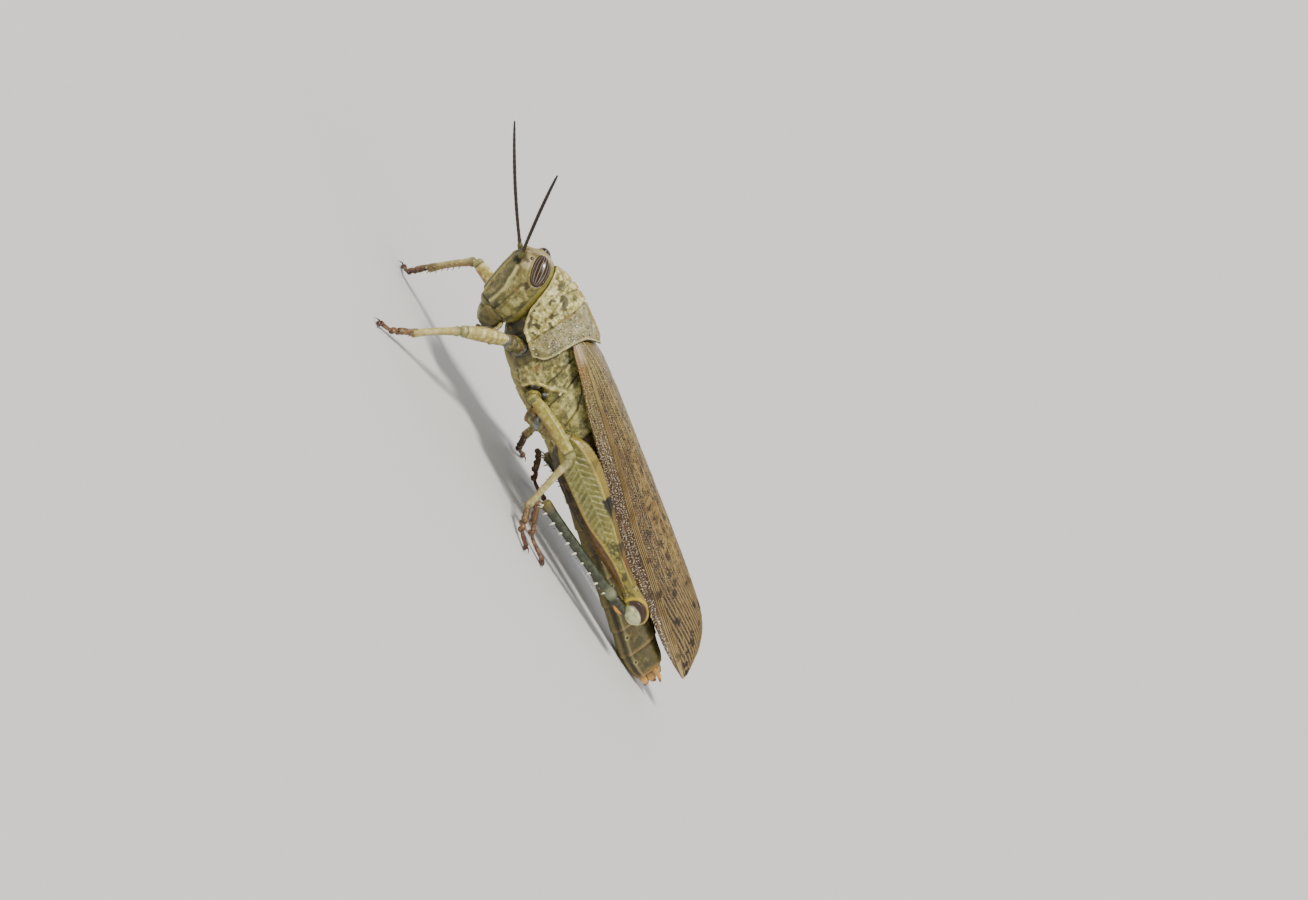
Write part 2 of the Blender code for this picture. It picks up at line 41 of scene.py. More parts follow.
millimetre = 0.001
paintDepth = 1.3                 # shell colors are laid on deeper than they look under the lights
sideName = {1: "left", -1: "right"}


# Picking, reading and setting points.
def clearPick():
    if bpy.context.mode != "OBJECT":
        bpy.ops.object.mode_set(mode="OBJECT")
    bpy.ops.object.select_all(action="DESELECT")


def pick(piece):
    clearPick()
    piece.select_set(True)
    bpy.context.view_layer.objects.active = piece


def points(piece):
    flat = np.zeros(len(piece.data.vertices) * 3)
    piece.data.vertices.foreach_get("co", flat)
    return flat.reshape(-1, 3)


def setPoints(piece, places):
    piece.data.vertices.foreach_set("co", np.ascontiguousarray(places, float).ravel())
    piece.data.update()


def outward(piece):
    flat = np.zeros(len(piece.data.vertices) * 3)
    piece.data.vertices.foreach_get("normal", flat)
    return flat.reshape(-1, 3)


def tint(piece, colors, name="tint"):
    layer = piece.data.attributes.get(name) or piece.data.attributes.new(name, "FLOAT_COLOR", "POINT")
    layer.data.foreach_set("color", np.column_stack([colors, np.ones(len(colors))]).astype(np.float32).ravel())


def mark(piece, values, name):
    layer = piece.data.attributes.get(name) or piece.data.attributes.new(name, "FLOAT", "POINT")
    layer.data.foreach_set("value", np.asarray(values, np.float32))


# Small number tools.
def unit(v):
    v = np.asarray(v, float)
    return v / np.linalg.norm(v, axis=-1, keepdims=True)


def ease(low, high, x):
    t = np.clip((np.asarray(x, float) - low) / (high - low), 0, 1)
    return t * t * (3 - 2 * t)


def bump(x, middle, width):
    return np.exp(-((np.asarray(x, float) - middle) / width) ** 2)


def rowsAt(rows, x):
    # Smooth reading of a table of (x, value, value, ...) rows.
    rows = np.asarray(rows, float)
    x = np.clip(np.asarray(x, float), rows[0, 0], rows[-1, 0])
    i = np.clip(np.searchsorted(rows[:, 0], x, side="right") - 1, 0, len(rows) - 2)
    low, high = np.maximum(i - 1, 0), np.minimum(i + 2, len(rows) - 1)
    a, b, before, after = rows[i], rows[i + 1], rows[low], rows[high]
    span = (b[..., :1] - a[..., :1])
    t = (x[..., None] - a[..., :1]) / span
    slopeA = (b - before) / (b[..., :1] - before[..., :1])
    slopeB = (after - a) / (after[..., :1] - a[..., :1])
    found = (2 * t**3 - 3 * t**2 + 1) * a + (t**3 - 2 * t**2 + t) * span * slopeA
    found = found + (3 * t**2 - 2 * t**3) * b + (t**3 - t**2) * span * slopeB
    return tuple(found[..., k] for k in range(1, rows.shape[1]))


def scatter(cell, seed):
    n = (cell[..., 0] * 73856093) ^ (cell[..., 1] * 19349663) ^ (cell[..., 2] * 83492791) ^ (seed * 9176741)
    n = n & 0xFFFFFFFF
    n = ((n ^ (n >> 15)) * 2246822519) & 0xFFFFFFFF
    n = ((n ^ (n >> 13)) * 3266489917) & 0xFFFFFFFF
    return ((n ^ (n >> 16)) & 0xFFFFFF) / float(0xFFFFFF)


def cloud(p, size, seed=1, layers=1):
    # Soft noise from 0 to 1, with blobs about that size.
    total, weight, strength = 0.0, 0.0, 1.0
    for layer in range(layers):
        q = np.asarray(p, float) / size * 2**layer + 40.3
        base = np.floor(q).astype(np.int64)
        f = q - base
        f = f * f * (3 - 2 * f)
        value = 0.0
        for dx in (0, 1):
            for dy in (0, 1):
                for dz in (0, 1):
                    share = (f[:, 0] if dx else 1 - f[:, 0]) * (f[:, 1] if dy else 1 - f[:, 1])
                    share = share * (f[:, 2] if dz else 1 - f[:, 2])
                    value = value + share * scatter(base + np.array([dx, dy, dz]), seed + layer)
        total, weight, strength = total + value * strength, weight + strength, strength * 0.55
    return total / weight


def cells(p, size, seed=1):
    # Distance to the nearest seed, in cell sizes, and a number from 0 to 1 for that seed.
    q = np.asarray(p, float) / size + 31.7
    base = np.floor(q).astype(np.int64)
    first, owner = np.full(len(q), 9.0), np.zeros(len(q))
    for dx in (-1, 0, 1):
        for dy in (-1, 0, 1):
            for dz in (-1, 0, 1):
                near = base + np.array([dx, dy, dz])
                spot = near + np.column_stack([scatter(near, seed + k) for k in (11, 23, 37)])
                d = np.linalg.norm(spot - q, axis=1)
                closer = d < first
                owner = np.where(closer, scatter(near, seed + 51), owner)
                first = np.where(closer, d, first)
    return first, owner


def shade(code, depth=paintDepth):
    # Color from its hex code, as the linear numbers that Blender works in.
    parts = [int(code[k:k + 2], 16) / 255 for k in (0, 2, 4)]
    return np.array([c / 12.92 if c <= 0.04045 else ((c + 0.055) / 1.055) ** 2.4 for c in parts]) ** depth


def layered(color, *coats):
    # Lays coats over a color. Each is a hex code or colors, and how much it covers at each point, from 0 to 1.
    color = shade(color) if isinstance(color, str) else color
    for coat, share in coats:
        coat = shade(coat) if isinstance(coat, str) else coat
        share = np.clip(share, 0, 1)[:, None]
        color = color * (1 - share) + coat * share
    return color


def plain(code):
    return lambda part, angle, place: np.tile(shade(code), (len(part), 1))


def even(*rows):
    # Limb rows with the same reach every way.
    return [(t, r, r, r) for t, r in rows]


def sided(line, side):
    # A line that is drawn on the left, here or turned over to the right.
    return [(x, y * side, z) for x, y, z in line]


def awayFrom(p, x, z, long=1, high=1):
    # Distance from a place, as it is seen from the side.
    return np.hypot((p[:, 0] - x) / long, (p[:, 2] - z) / high)


def scaled(size, rows):
    return [(t, size * a, size * b, size * c) for t, a, b, c in rows]


def lineDistance(a, b, line):
    # Shortest distance from the points (a, b) to a drawn line.
    line, best = np.asarray(line, float), np.full(len(a), 1e9)
    for k in range(len(line) - 1):
        p, d = line[k], line[k + 1] - line[k]
        t = np.clip(((a - p[0]) * d[0] + (b - p[1]) * d[1]) / (d @ d), 0, 1)
        away = np.hypot(a - p[0] - t * d[0], b - p[1] - t * d[1])
        best = np.minimum(best, away)
    return best


# Making meshes.
def newGrid(name, columns, rows):
    clearPick()
    bpy.ops.mesh.primitive_grid_add(x_subdivisions=columns, y_subdivisions=rows, size=2)
    piece = bpy.context.object
    piece.name = piece.data.name = name
    p = points(piece)
    return piece, (p[:, 0] + 1) / 2, (p[:, 1] + 1) / 2


def closeUp(piece, merge=0.002):
    # Joins the seam and the poles, and turns every face outwards.
    pick(piece)
    bpy.ops.object.mode_set(mode="EDIT")
    bpy.ops.mesh.select_all(action="SELECT")
    if merge:
        bpy.ops.mesh.remove_doubles(threshold=merge)
    bpy.ops.mesh.normals_make_consistent(inside=False)
    bpy.ops.object.mode_set(mode="OBJECT")


def applyAll(piece):
    pick(piece)
    for change in list(piece.modifiers):
        bpy.ops.object.modifier_apply(modifier=change.name)


def remeshed(piece, voxel, rounds):
    change = piece.modifiers.new("even", "REMESH")
    change.mode = "VOXEL"
    change.voxel_size = voxel
    soft = piece.modifiers.new("soft", "SMOOTH")
    soft.factor, soft.iterations = 0.5, rounds
    applyAll(piece)


def push(piece, amount):
    setPoints(piece, points(piece) + outward(piece) * np.asarray(amount, float)[:, None])


def joined(name, parts):
    clearPick()
    for part in parts:
        part.select_set(True)
    bpy.context.view_layer.objects.active = parts[0]
    if len(parts) > 1:
        bpy.ops.object.join()
    parts[0].name = parts[0].data.name = name
    return parts[0]


def finished(piece, material, slotName, *nodes, angle=None):
    # Moves a millimetre mesh to its place in metres, and hands it over with its finish.
    setPoints(piece, (points(piece) + np.array([tailX, 0, 0])) * millimetre)
    piece.data.materials.clear()
    piece.data.materials.append(material)
    pick(piece)
    if angle:
        bpy.ops.object.shade_smooth_by_angle(angle=math.radians(angle))
    else:
        bpy.ops.object.shade_smooth()
    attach(piece, "root")
    if nodes:
        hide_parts(*nodes)


def sectionPoint(angle, halfWidth, above, below, power):
    # Across and up on a rounded section, with its own height above and below the middle.
    c, s = np.cos(angle), np.sin(angle)
    across = np.sign(c) * np.abs(c) ** (2 / power) * halfWidth
    return across, np.sign(s) * np.abs(s) ** (2 / power) * np.where(s > 0, above, below)


def bent(line, t):
    # Smooth curve through the points of a line, and its direction.
    line = np.asarray(line, float)
    if len(line) == 2:
        line = np.array([line[0], line.mean(0), line[1]])
    knots = np.column_stack([np.linspace(0, 1, len(line)), line])
    place = np.column_stack(rowsAt(knots, t))
    ahead = np.column_stack(rowsAt(knots, np.clip(t + 0.01, 0, 1)))
    behind = np.column_stack(rowsAt(knots, np.clip(t - 0.01, 0, 1)))
    return place, unit(ahead - behind)


def limb(name, line, rows, around, along, power=2.1, upward=(0, 0, 1), change=None, ends=(0.6, 0.6), paint=None):
    # Closed round-ended limb. A row is (part of the length, half width, above, below).
    # change(part, angle, place) gives how far each point is pushed out; paint gives its color.
    piece, u, v = newGrid(name, around, along)
    line = np.asarray(line, float)
    length = np.linalg.norm(np.diff(line, axis=0), axis=1).sum()
    first, last = rows[0][0], rows[-1][0]
    part = first + (last - first) * v
    halfWidth, above, below = rowsAt(rows, part)
    caps = (ends[0] * max(rows[0][2], rows[0][3]) / length, ends[1] * max(rows[-1][2], rows[-1][3]) / length)
    closing = np.sqrt(np.clip(1 - np.clip(1 - (part - first) / max(caps[0], 1e-6), 0, 1) ** 2, 0, 1))
    closing *= np.sqrt(np.clip(1 - np.clip(1 - (last - part) / max(caps[1], 1e-6), 0, 1) ** 2, 0, 1))
    angle = 2 * math.pi * u
    across, height = sectionPoint(angle, halfWidth, above, below, power)
    inner = np.clip(part, 0, 1)
    place, way = bent(line, inner)
    place = place + way * ((part - inner) * length)[:, None]
    side = unit(np.cross(way, np.asarray(upward, float)))
    up = np.cross(side, way)
    offset = side * (across * closing)[:, None] + up * (height * closing)[:, None]
    if change is not None:
        out = offset / np.maximum(np.linalg.norm(offset, axis=1, keepdims=True), 1e-6)
        offset = offset + out * (change(part, angle, place + offset) * closing)[:, None]
    setPoints(piece, place + offset)
    if paint is not None:
        tint(piece, paint(part, angle, place + offset))
    closeUp(piece)
    return piece


def cone(name, foot, tip, radius, tipRadius=0.02, sides=8, curve=0.0, sag=(0, 0, -1)):
    # One spine, made from a cone primitive that is cut into rings and bent a little.
    clearPick()
    foot, tip = np.asarray(foot, float), np.asarray(tip, float)
    length = np.linalg.norm(tip - foot)
    bpy.ops.mesh.primitive_cone_add(vertices=sides, radius1=radius, radius2=tipRadius, depth=length,
                                    location=(0, 0, length / 2))
    spine = bpy.context.object
    bpy.ops.object.transform_apply(location=True)
    bpy.ops.object.mode_set(mode="EDIT")
    bpy.ops.mesh.select_all(action="SELECT")
    bpy.ops.mesh.bisect(plane_co=(0, 0, length * 0.35), plane_no=(0, 0, 1))
    bpy.ops.mesh.select_all(action="SELECT")
    bpy.ops.mesh.bisect(plane_co=(0, 0, length * 0.7), plane_no=(0, 0, 1))
    bpy.ops.object.mode_set(mode="OBJECT")
    p = points(spine)
    part = p[:, 2] / length
    way = (tip - foot) / length
    helper = np.array([0, 0, 1.0]) if abs(way[2]) < 0.9 else np.array([1.0, 0, 0])
    side = unit(np.cross(way, helper))
    up = np.cross(side, way)
    place = foot + np.outer(p[:, 2], way) + np.outer(p[:, 0], side) + np.outer(p[:, 1], up)
    place = place + np.outer(np.sin(part * math.pi) * curve, -np.asarray(sag, float))
    setPoints(spine, place)
    spine.name = name
    mark(spine, part, "part")
    return spine


# Finishes.
class nodeKit:
    # A material in the making. A socket takes a value, or the output of another node.
    def __init__(self, name):
        self.made = bpy.data.materials.new(name)
        self.made.use_nodes = True
        self.tree = self.made.node_tree

    def feed(self, node, sockets):
        for socket, value in sockets.items():
            if hasattr(value, "links"):
                self.tree.links.new(value, node.inputs[socket])
            else:
                node.inputs[socket].default_value = value

    def add(self, kind, sockets=None, **settings):
        node = self.tree.nodes.new("ShaderNode" + kind)
        for setting, value in settings.items():
            setattr(node, setting, value)
        self.feed(node, sockets or {})
        return node.outputs

    def read(self, name, output="Fac"):
        return self.add("Attribute", attribute_name=name)[output]

    def noise(self, place, scale, detail=2.0):
        return self.add("TexNoise", {"Vector": place, "Scale": scale, "Detail": detail})

    def cellAway(self, place, size):
        return self.add("TexVoronoi", {"Vector": place, "Scale": 1000 / size})["Distance"]

    def number(self, operation, first, second):
        return self.add("Math", {0: first, 1: second}, operation=operation)[0]

    def spread(self, value, low, high, toLow=0.0, toHigh=1.0):
        sockets = {"Value": value, "From Min": low, "From Max": high, "To Min": toLow, "To Max": toHigh}
        return self.add("MapRange", sockets)["Result"]

    def mixed(self, share, first, second):
        first, second = (x if hasattr(x, "links") else (*x, 1) for x in (first, second))
        return self.add("Mix", {"Factor": share, "A": first, "B": second}, data_type="RGBA")["Result"]

    def raised(self, height, strength, depth):
        return self.add("Bump", {"Height": height, "Strength": strength, "Distance": depth})["Normal"]

    def done(self, sockets):
        self.feed(self.tree.nodes["Principled BSDF"], sockets)
        return self.made


def surface(name, rough=(0.35, 0.6), grain=0.12, grainDepth=0.25, contrast=0.35, coat=0.0, coatRough=0.2,
            pits=0.0, pitSize=0.3):
    # Painted shell: the color comes from the mesh, with fine speckle, waxy patches and a fine grain on top.
    kit = nodeKit(name)
    place = kit.add("TexCoord")["Object"]
    speck, patch = kit.noise(place, 1000 / 0.12, 3.0)["Fac"], kit.noise(place, 1000 / 0.9, 4.0)["Fac"]
    # small dark punctures, each with its own depth
    pit = kit.spread(kit.cellAway(place, pitSize), 0.12, 0.34, 1 - pits, 1.0)
    depth = kit.number("MULTIPLY", kit.spread(speck, 0.3, 0.7, 1 - contrast, 1 + contrast), pit)
    deep = kit.add("VectorMath", {0: kit.read("tint", "Color"), "Scale": depth}, operation="SCALE")["Vector"]
    height = kit.number("ADD", kit.cellAway(place, grain), speck)
    return kit.done({
        "Base Color": deep, "Roughness": kit.spread(patch, 0.35, 0.65, *rough),
        "Normal": kit.raised(height, grainDepth, 0.00003), "Coat Weight": coat, "Coat Roughness": coatRough})


shellFinish = surface("bodyShell", coat=0.12, coatRough=0.35, grainDepth=0.4, contrast=0.3, pits=0.5)
smoothShell = surface("smoothShell", rough=(0.28, 0.42), coat=0.25, coatRough=0.2, grainDepth=0.15, contrast=0.14,
                      grain=0.09)
wetSkin = surface("softMembrane", rough=(0.18, 0.32), coat=0.6, coatRough=0.12, grainDepth=0.2, contrast=0.1,
                  grain=0.2)
legFinish = surface("legShell", rough=(0.3, 0.48), coat=0.2, coatRough=0.25, grainDepth=0.25, contrast=0.2,
                    grain=0.1, pits=0.3, pitSize=0.24)
antennaFinish = surface("antennaShell", rough=(0.45, 0.6), coat=0.05, coatRough=0.3, grainDepth=0.3, contrast=0.2,
                        grain=0.06)
hornFinish = surface("hornDark", rough=(0.18, 0.3), coat=0.5, coatRough=0.1, grainDepth=0.12, contrast=0.12,
                     grain=0.07)


# Head.
headData = {
    "middle": (-60.0, 0.0, 15.5),
    "lean": 20.0,                # slant of the face
    "waist": 0.6,                # level at which the cheeks are widest
    "voxel": 0.085,
    "pit": (2.0, 1.6, 3.9),      # left antennal pit: forward, across, up
    "smear": (0.95, 2.2, 4.35),  # pale smear beside the left eye, the same way
    "rows": [                    # forward, top, bottom, half width
        (-3.9, 3.4, -2.4, 2.4), (-3.5, 4.5, -3.4, 3.3), (-3.1, 5.0, -4.0, 3.85), (-2.7, 5.4, -4.5, 4.05),
        (-2.0, 5.8, -4.95, 4.2), (-1.0, 5.95, -5.05, 4.2), (0.1, 5.9, -5.05, 4.0), (1.1, 5.35, -4.95, 3.6),
        (1.8, 4.75, -4.7, 2.9), (2.3, 4.05, -4.2, 2.1), (2.6, 2.75, -3.1, 1.3), (2.72, 1.8, -2.2, 0.8)],
    # on the cheeks: middle as forward and up, reach both ways, color and share
    "blotches": [
        ((-0.05, 0.55), (0.38, 0.3), "9d8350", 0.8), ((-1.9, -0.5), (0.3, 0.8), "4f4d20", 0.8),
        ((0.6, -3.0), (0.45, 0.7), "45401e", 0.75), ((-0.7, 2.0), (0.6, 0.5), "4a3218", 0.9),
        ((0.9, -1.7), (0.5, 0.9), "6b6a35", 0.6), ((-0.9, -2.6), (0.7, 0.6), "c8bf88", 0.55),
        ((-0.6, -0.9), (0.5, 0.55), "c9c18b", 0.5), ((1.1, 0.6), (0.3, 0.8), "bdb781", 0.55)],
    # forward, across, up and size of each simple eye
    "ocelli": [(0.83, 2.02, 4.97, 0.24), (0.83, -2.02, 4.97, 0.24), (2.62, 0.0, 2.2, 0.2)],
}
eyeData = {
    "center": (-60.5, -2.64, 19.9),
    "radii": (2.28, 1.3, 1.15),              # along the stripes, across them, outward
    "long": (0.483, -0.537, -0.692),
    "out": (-0.38, -0.83, 0.38),
    "stripe": 0.38,                          # radians from stripe to stripe
    "ramp": ((0.72, "3a220c"), (0.85, "5c4630"), (0.95, "a08c70")),
}
headMiddle = np.array(headData["middle"])
lean = math.radians(headData["lean"])
headAhead = np.array([-math.cos(lean), 0, -math.sin(lean)])
headAbove = np.array([-math.sin(lean), 0, math.cos(lean)])


def headPlace(forward, across, up):
    forward, across, up = np.broadcast_arrays(np.asarray(forward, float), across, up)
    place = headMiddle + forward[..., None] * headAhead + up[..., None] * headAbove
    return place - across[..., None] * np.array([0, 1.0, 0])


def headMap(p):
    q = p - headMiddle
    return q @ headAhead, -q[:, 1], q @ headAbove


def eyeAxes(side):
    out = unit(np.array(eyeData["out"]) * (1, side, 1))
    along = np.array(eyeData["long"]) * (1, side, 1)
    along = unit(along - out * (along @ out))
    return along, np.cross(out, along), out


def eyeLevel(p, side, grow=0.0):
    # 1 on the surface of the eye, less inside.
    q = p - np.array(eyeData["center"]) * (1, side, 1)
    return np.sqrt(sum(((q @ axis) / (radius + grow)) ** 2 for axis, radius in zip(eyeAxes(side), eyeData["radii"])))


def headShell():
    piece, u, v = newGrid("headShell", 220, 130)
    rows = headData["rows"]
    forward = rows[0][0] + (rows[-1][0] - rows[0][0]) * v
    top, bottom, halfWidth = rowsAt(rows, forward)
    across, up = sectionPoint(2 * math.pi * u, halfWidth, top - headData["waist"], headData["waist"] - bottom, 2.3)
    closing = np.sqrt(np.clip(1 - (1 - np.clip(np.minimum(v, 1 - v) / 0.02, 0, 1)) ** 2, 0, 1))
    setPoints(piece, headPlace(forward, across * closing, headData["waist"] + up * closing))
    closeUp(piece)
    remeshed(piece, headData["voxel"], 8)
    p, n = points(piece), outward(piece)
    f, a, up = headMap(p)
    front, top = n @ headAhead, n @ headAbove
    away = np.abs(a)
    move = np.zeros(len(p))
    facing = ease(0.15, 0.6, front)
    # raised frontal ridge with a shallow channel, between two fine keels
    width = 0.72 + 0.22 * ease(0, -3.2, up) + 0.1 * ease(3.0, 4.6, up)
    lengthFade = ease(-3.7, -2.9, up) * ease(5.6, 4.9, up)
    ridge = 0.2 * ease(width + 0.42, width + 0.02, away) + 0.14 * bump(away, width, 0.16)
    ridge = ridge - 0.17 * np.clip(1 - (away / width) ** 2, 0, 1)
    move += facing * lengthFade * ridge
    move -= 0.16 * facing * np.exp(-(away / 0.3) ** 2 - ((up - 2.2) / 0.32) ** 2)      # dimple of the middle ocellus
    # keels from the antennal pits down the face, and under the eye
    sideLine = lineDistance(f, up, [(1.75, 3.0), (1.6, 2.0), (1.55, 1.0), (1.3, -0.2), (1.35, -1.6), (1.5, -3.2)])
    move += 0.14 * bump(sideLine, 0, 0.17) * ease(0.9, 1.5, away)
    move -= 0.07 * bump(sideLine, 0.36, 0.2) * ease(0.9, 1.5, away)
    cheek = lineDistance(f, up, [(0.05, 1.7), (0.15, 0.2), (0.3, -1.6), (0.55, -4.2)])
    move -= 0.12 * bump(cheek, 0, 0.13) * ease(1.6, 2.6, away)
    move += 0.06 * bump(cheek, 0.3, 0.2) * ease(1.6, 2.6, away)
    back = lineDistance(f, up, [(-2.15, 4.6), (-2.25, 1.0), (-2.1, -2.0), (-1.5, -4.4)])
    move -= 0.08 * bump(back, 0, 0.14) * ease(1.2, 2.6, away)
    # seam over the clypeus, and its plate
    seam = up + 3.55 - 0.35 * bump(away, 0, 0.5)
    move -= 0.17 * bump(seam, 0, 0.14) * facing * ease(2.6, 2.1, away)
    move += 0.1 * bump(seam, -0.55, 0.4) * facing * ease(2.3, 1.8, away)
    # crown: shallow hollow between low rims, and a fine middle line
    crown = ease(0.35, 0.8, top)
    rim = 0.95 + 0.25 * ease(1.6, -0.6, f)
    move += crown * ease(-1.8, 0.2, f) * (0.11 * bump(away, rim, 0.17) - 0.12 * np.clip(1 - (away / rim) ** 2, 0, 1))
    move -= crown * 0.05 * bump(away, 0, 0.09) * ease(0.6, -0.4, f)
    # antennal pits and the rims of the eyes
    ahead, aside, above = headData["pit"]
    rims = [(side, np.linalg.norm(p - headPlace(ahead, aside * side, above), axis=1), eyeLevel(p, side))
            for side in sideName]
    for _, pit, level in rims:
        move -= 0.5 * ease(1.05, 0.25, pit)
        move += 0.1 * bump(pit, 1.15, 0.22)
        move += 0.13 * bump(level, 1.1, 0.07) - 0.08 * bump(level, 1.26, 0.1)
        move -= 0.45 * ease(1.02, 0.9, level)
    # wrinkles and pits in the shell
    rough = cloud(p, 0.55, 3, 3) - 0.5
    near = cells(p, 0.34, 5)[0]
    move += 0.07 * rough - 0.035 * ease(0.32, 0.1, near) * ease(-2.4, -1.6, f)
    push(piece, move)
    # colors
    noise, broad, spots = cloud(p, 0.5, 8, 3), cloud(p, 1.5, 9, 2), cloud(p, 0.8, 12, 2)
    color = layered("8f864c",
        ("c4bb84", ease(0.52, 0.68, noise) * 0.75),
        ("5d5a2a", ease(0.55, 0.68, spots) * 0.75),
        ("6f6d36", ease(0.5, 0.7, broad) * 0.4),
        # darker olive towards the front of the face: painted shade
        ("756b38", ease(0.4, 1.6, f) * 0.4),
        ("9b9348", ease(-2.0, -2.5, f) * 0.7),
        ("c6b98c", crown * ease(1.5, 0.7, away) * (0.45 + 0.4 * noise) * ease(-3.0, -1.5, f)),
        ("87572f", crown * bump(away, rim + 0.12, 0.13) * 0.6 * ease(-2.6, -1.0, f)),
        # dark brown-green over the front of the frontal ridge: painted shade on the face
        ("534a26", facing * ease(width + 0.2, width - 0.15, away) * 0.75 * lengthFade),
        ("bdb27a", facing * bump(away, width, 0.15) * lengthFade * 0.9),
        ("d0c78c", bump(sideLine, 0, 0.2) * ease(0.9, 1.4, away) * 0.95),
        ("47461f", bump(sideLine, 0.42, 0.17) * ease(1.5, 2.1, away) * ease(0.8, 1.6, f) * 0.6),
        ("4b471f", bump(cheek, 0, 0.16) * ease(1.6, 2.4, away) * 0.6),
        ("55521f", bump(back, 0, 0.16) * ease(1.2, 2.4, away) * 0.5))
    for spot, size, code, share in headData["blotches"]:
        reach = np.hypot((f - spot[0]) / size[0], (up - spot[1]) / size[1]) + (noise - 0.5) * 1.2
        color = layered(color, (code, ease(1.15, 0.6, reach) * share * ease(1.8, 2.6, away)))
    front, outer, high = headData["smear"]
    for side, pit, level in rims:
        smear = np.linalg.norm(p - headPlace(front, outer * side, high), axis=1) + (noise - 0.5) * 0.5
        color = layered(color,
            ("2c2d15", ease(1.45, 0.8, pit + (noise - 0.5)) * 0.92),
            ("4a3418", ease(1.1, 1.03, level) * 0.9),
            ("a89d5c", bump(level, 1.15, 0.05) * 0.7),
            ("ccc095", ease(1.5, 0.9, smear) * ease(1.0, 1.12, level) * 0.6),
            ("4e2f1a", ease(0.42, 0.3, smear) * 0.8))
    tint(piece, layered(color, ("3f3b1b", ease(0.25, 0.05, np.abs(seam)) * facing * ease(2.6, 2.1, away) * 0.8)))
    finished(piece, shellFinish, "olive", "head")


def eye(side):
    clearPick()
    bpy.ops.mesh.primitive_uv_sphere_add(segments=96, ring_count=64, radius=1.0)
    piece = bpy.context.object
    piece.name = piece.data.name = "eyeGlobe" + sideName[side].title()
    q = points(piece)
    along, across, out = eyeAxes(side)
    radii = eyeData["radii"]
    turn = np.arctan2(q[:, 0], q[:, 1])              # round the long axis, 0 where the eye faces out
    mark(piece, turn, "turn")
    mark(piece, np.abs(q[:, 2]), "pole")
    flat = 1 - 0.05 * bump(np.hypot(q[:, 0], q[:, 2]), 0, 0.5)
    place = np.outer(q[:, 2] * radii[0], along) + np.outer(q[:, 0] * radii[1], across)
    place = place + np.outer(q[:, 1] * radii[2] * flat, out)
    setPoints(piece, place + np.array(eyeData["center"]) * (1, side, 1))
    closeUp(piece, 1e-5)
    finished(piece, eyeFinish, "brown", "eye_" + sideName[side])


def eyeMaterial():
    kit = nodeKit("stripedEye")
    place = kit.add("TexCoord")["Object"]
    wobble = kit.number("MULTIPLY", kit.noise(place, 1000 / 0.8)["Fac"], 0.12)
    turned = kit.number("MULTIPLY", kit.number("ADD", kit.read("turn"), wobble), 2 * math.pi / eyeData["stripe"])
    wave = kit.number("MULTIPLY", kit.number("COSINE", turned, 0.0), 0.5)
    stripes = kit.add("ValToRGB", {"Fac": kit.number("ADD", wave, 0.5)})["Color"]
    ramp = stripes.node.color_ramp
    ramp.elements.new(0.85)
    for element, (position, code) in zip(ramp.elements, eyeData["ramp"]):
        element.position, element.color = position, (*shade(code), 1)
    edge = kit.spread(kit.read("pole"), 0.86, 0.99)
    return kit.done({
        "Base Color": kit.mixed(edge, stripes, shade("3a1a10")), "Roughness": 0.3,
        "Normal": kit.raised(kit.cellAway(place, 0.06), 0.12, 0.00002), "Coat Weight": 0.55, "Coat Roughness": 0.06})


def ocelli():
    beads = []
    for ahead, aside, above, size in headData["ocelli"]:
        clearPick()
        bpy.ops.mesh.primitive_uv_sphere_add(segments=24, ring_count=16, radius=size,
                                             location=headPlace(ahead, aside, above))
        bpy.ops.object.transform_apply(location=True)
        bead = bpy.context.object
        q = points(bead)
        middle = q.mean(0)
        outwardWay = unit(middle - headPlace(-0.6, 0.0, 3.2))
        q = q - np.outer((q - middle) @ outwardWay, outwardWay) * 0.35       # a low dome
        setPoints(bead, q)
        glow = bump(np.linalg.norm(q - middle - outwardWay * size * 0.4, axis=1), 0, size * 0.8)
        tint(bead, layered("2a1c12", ("8a6b45", glow * 0.5)))
        beads.append(bead)
    finished(joined("ocelli", beads), hornFinish, "brown")


def mouthColors(base, dark, seed, tipDark=0.0):
    def paint(part, angle, place):
        return layered(base,
            (dark, ease(0.5, 0.68, cloud(place, 0.5, seed, 3)) * 0.6),
            ("30200f", ease(0.72, 0.98, part) * tipDark))
    return paint


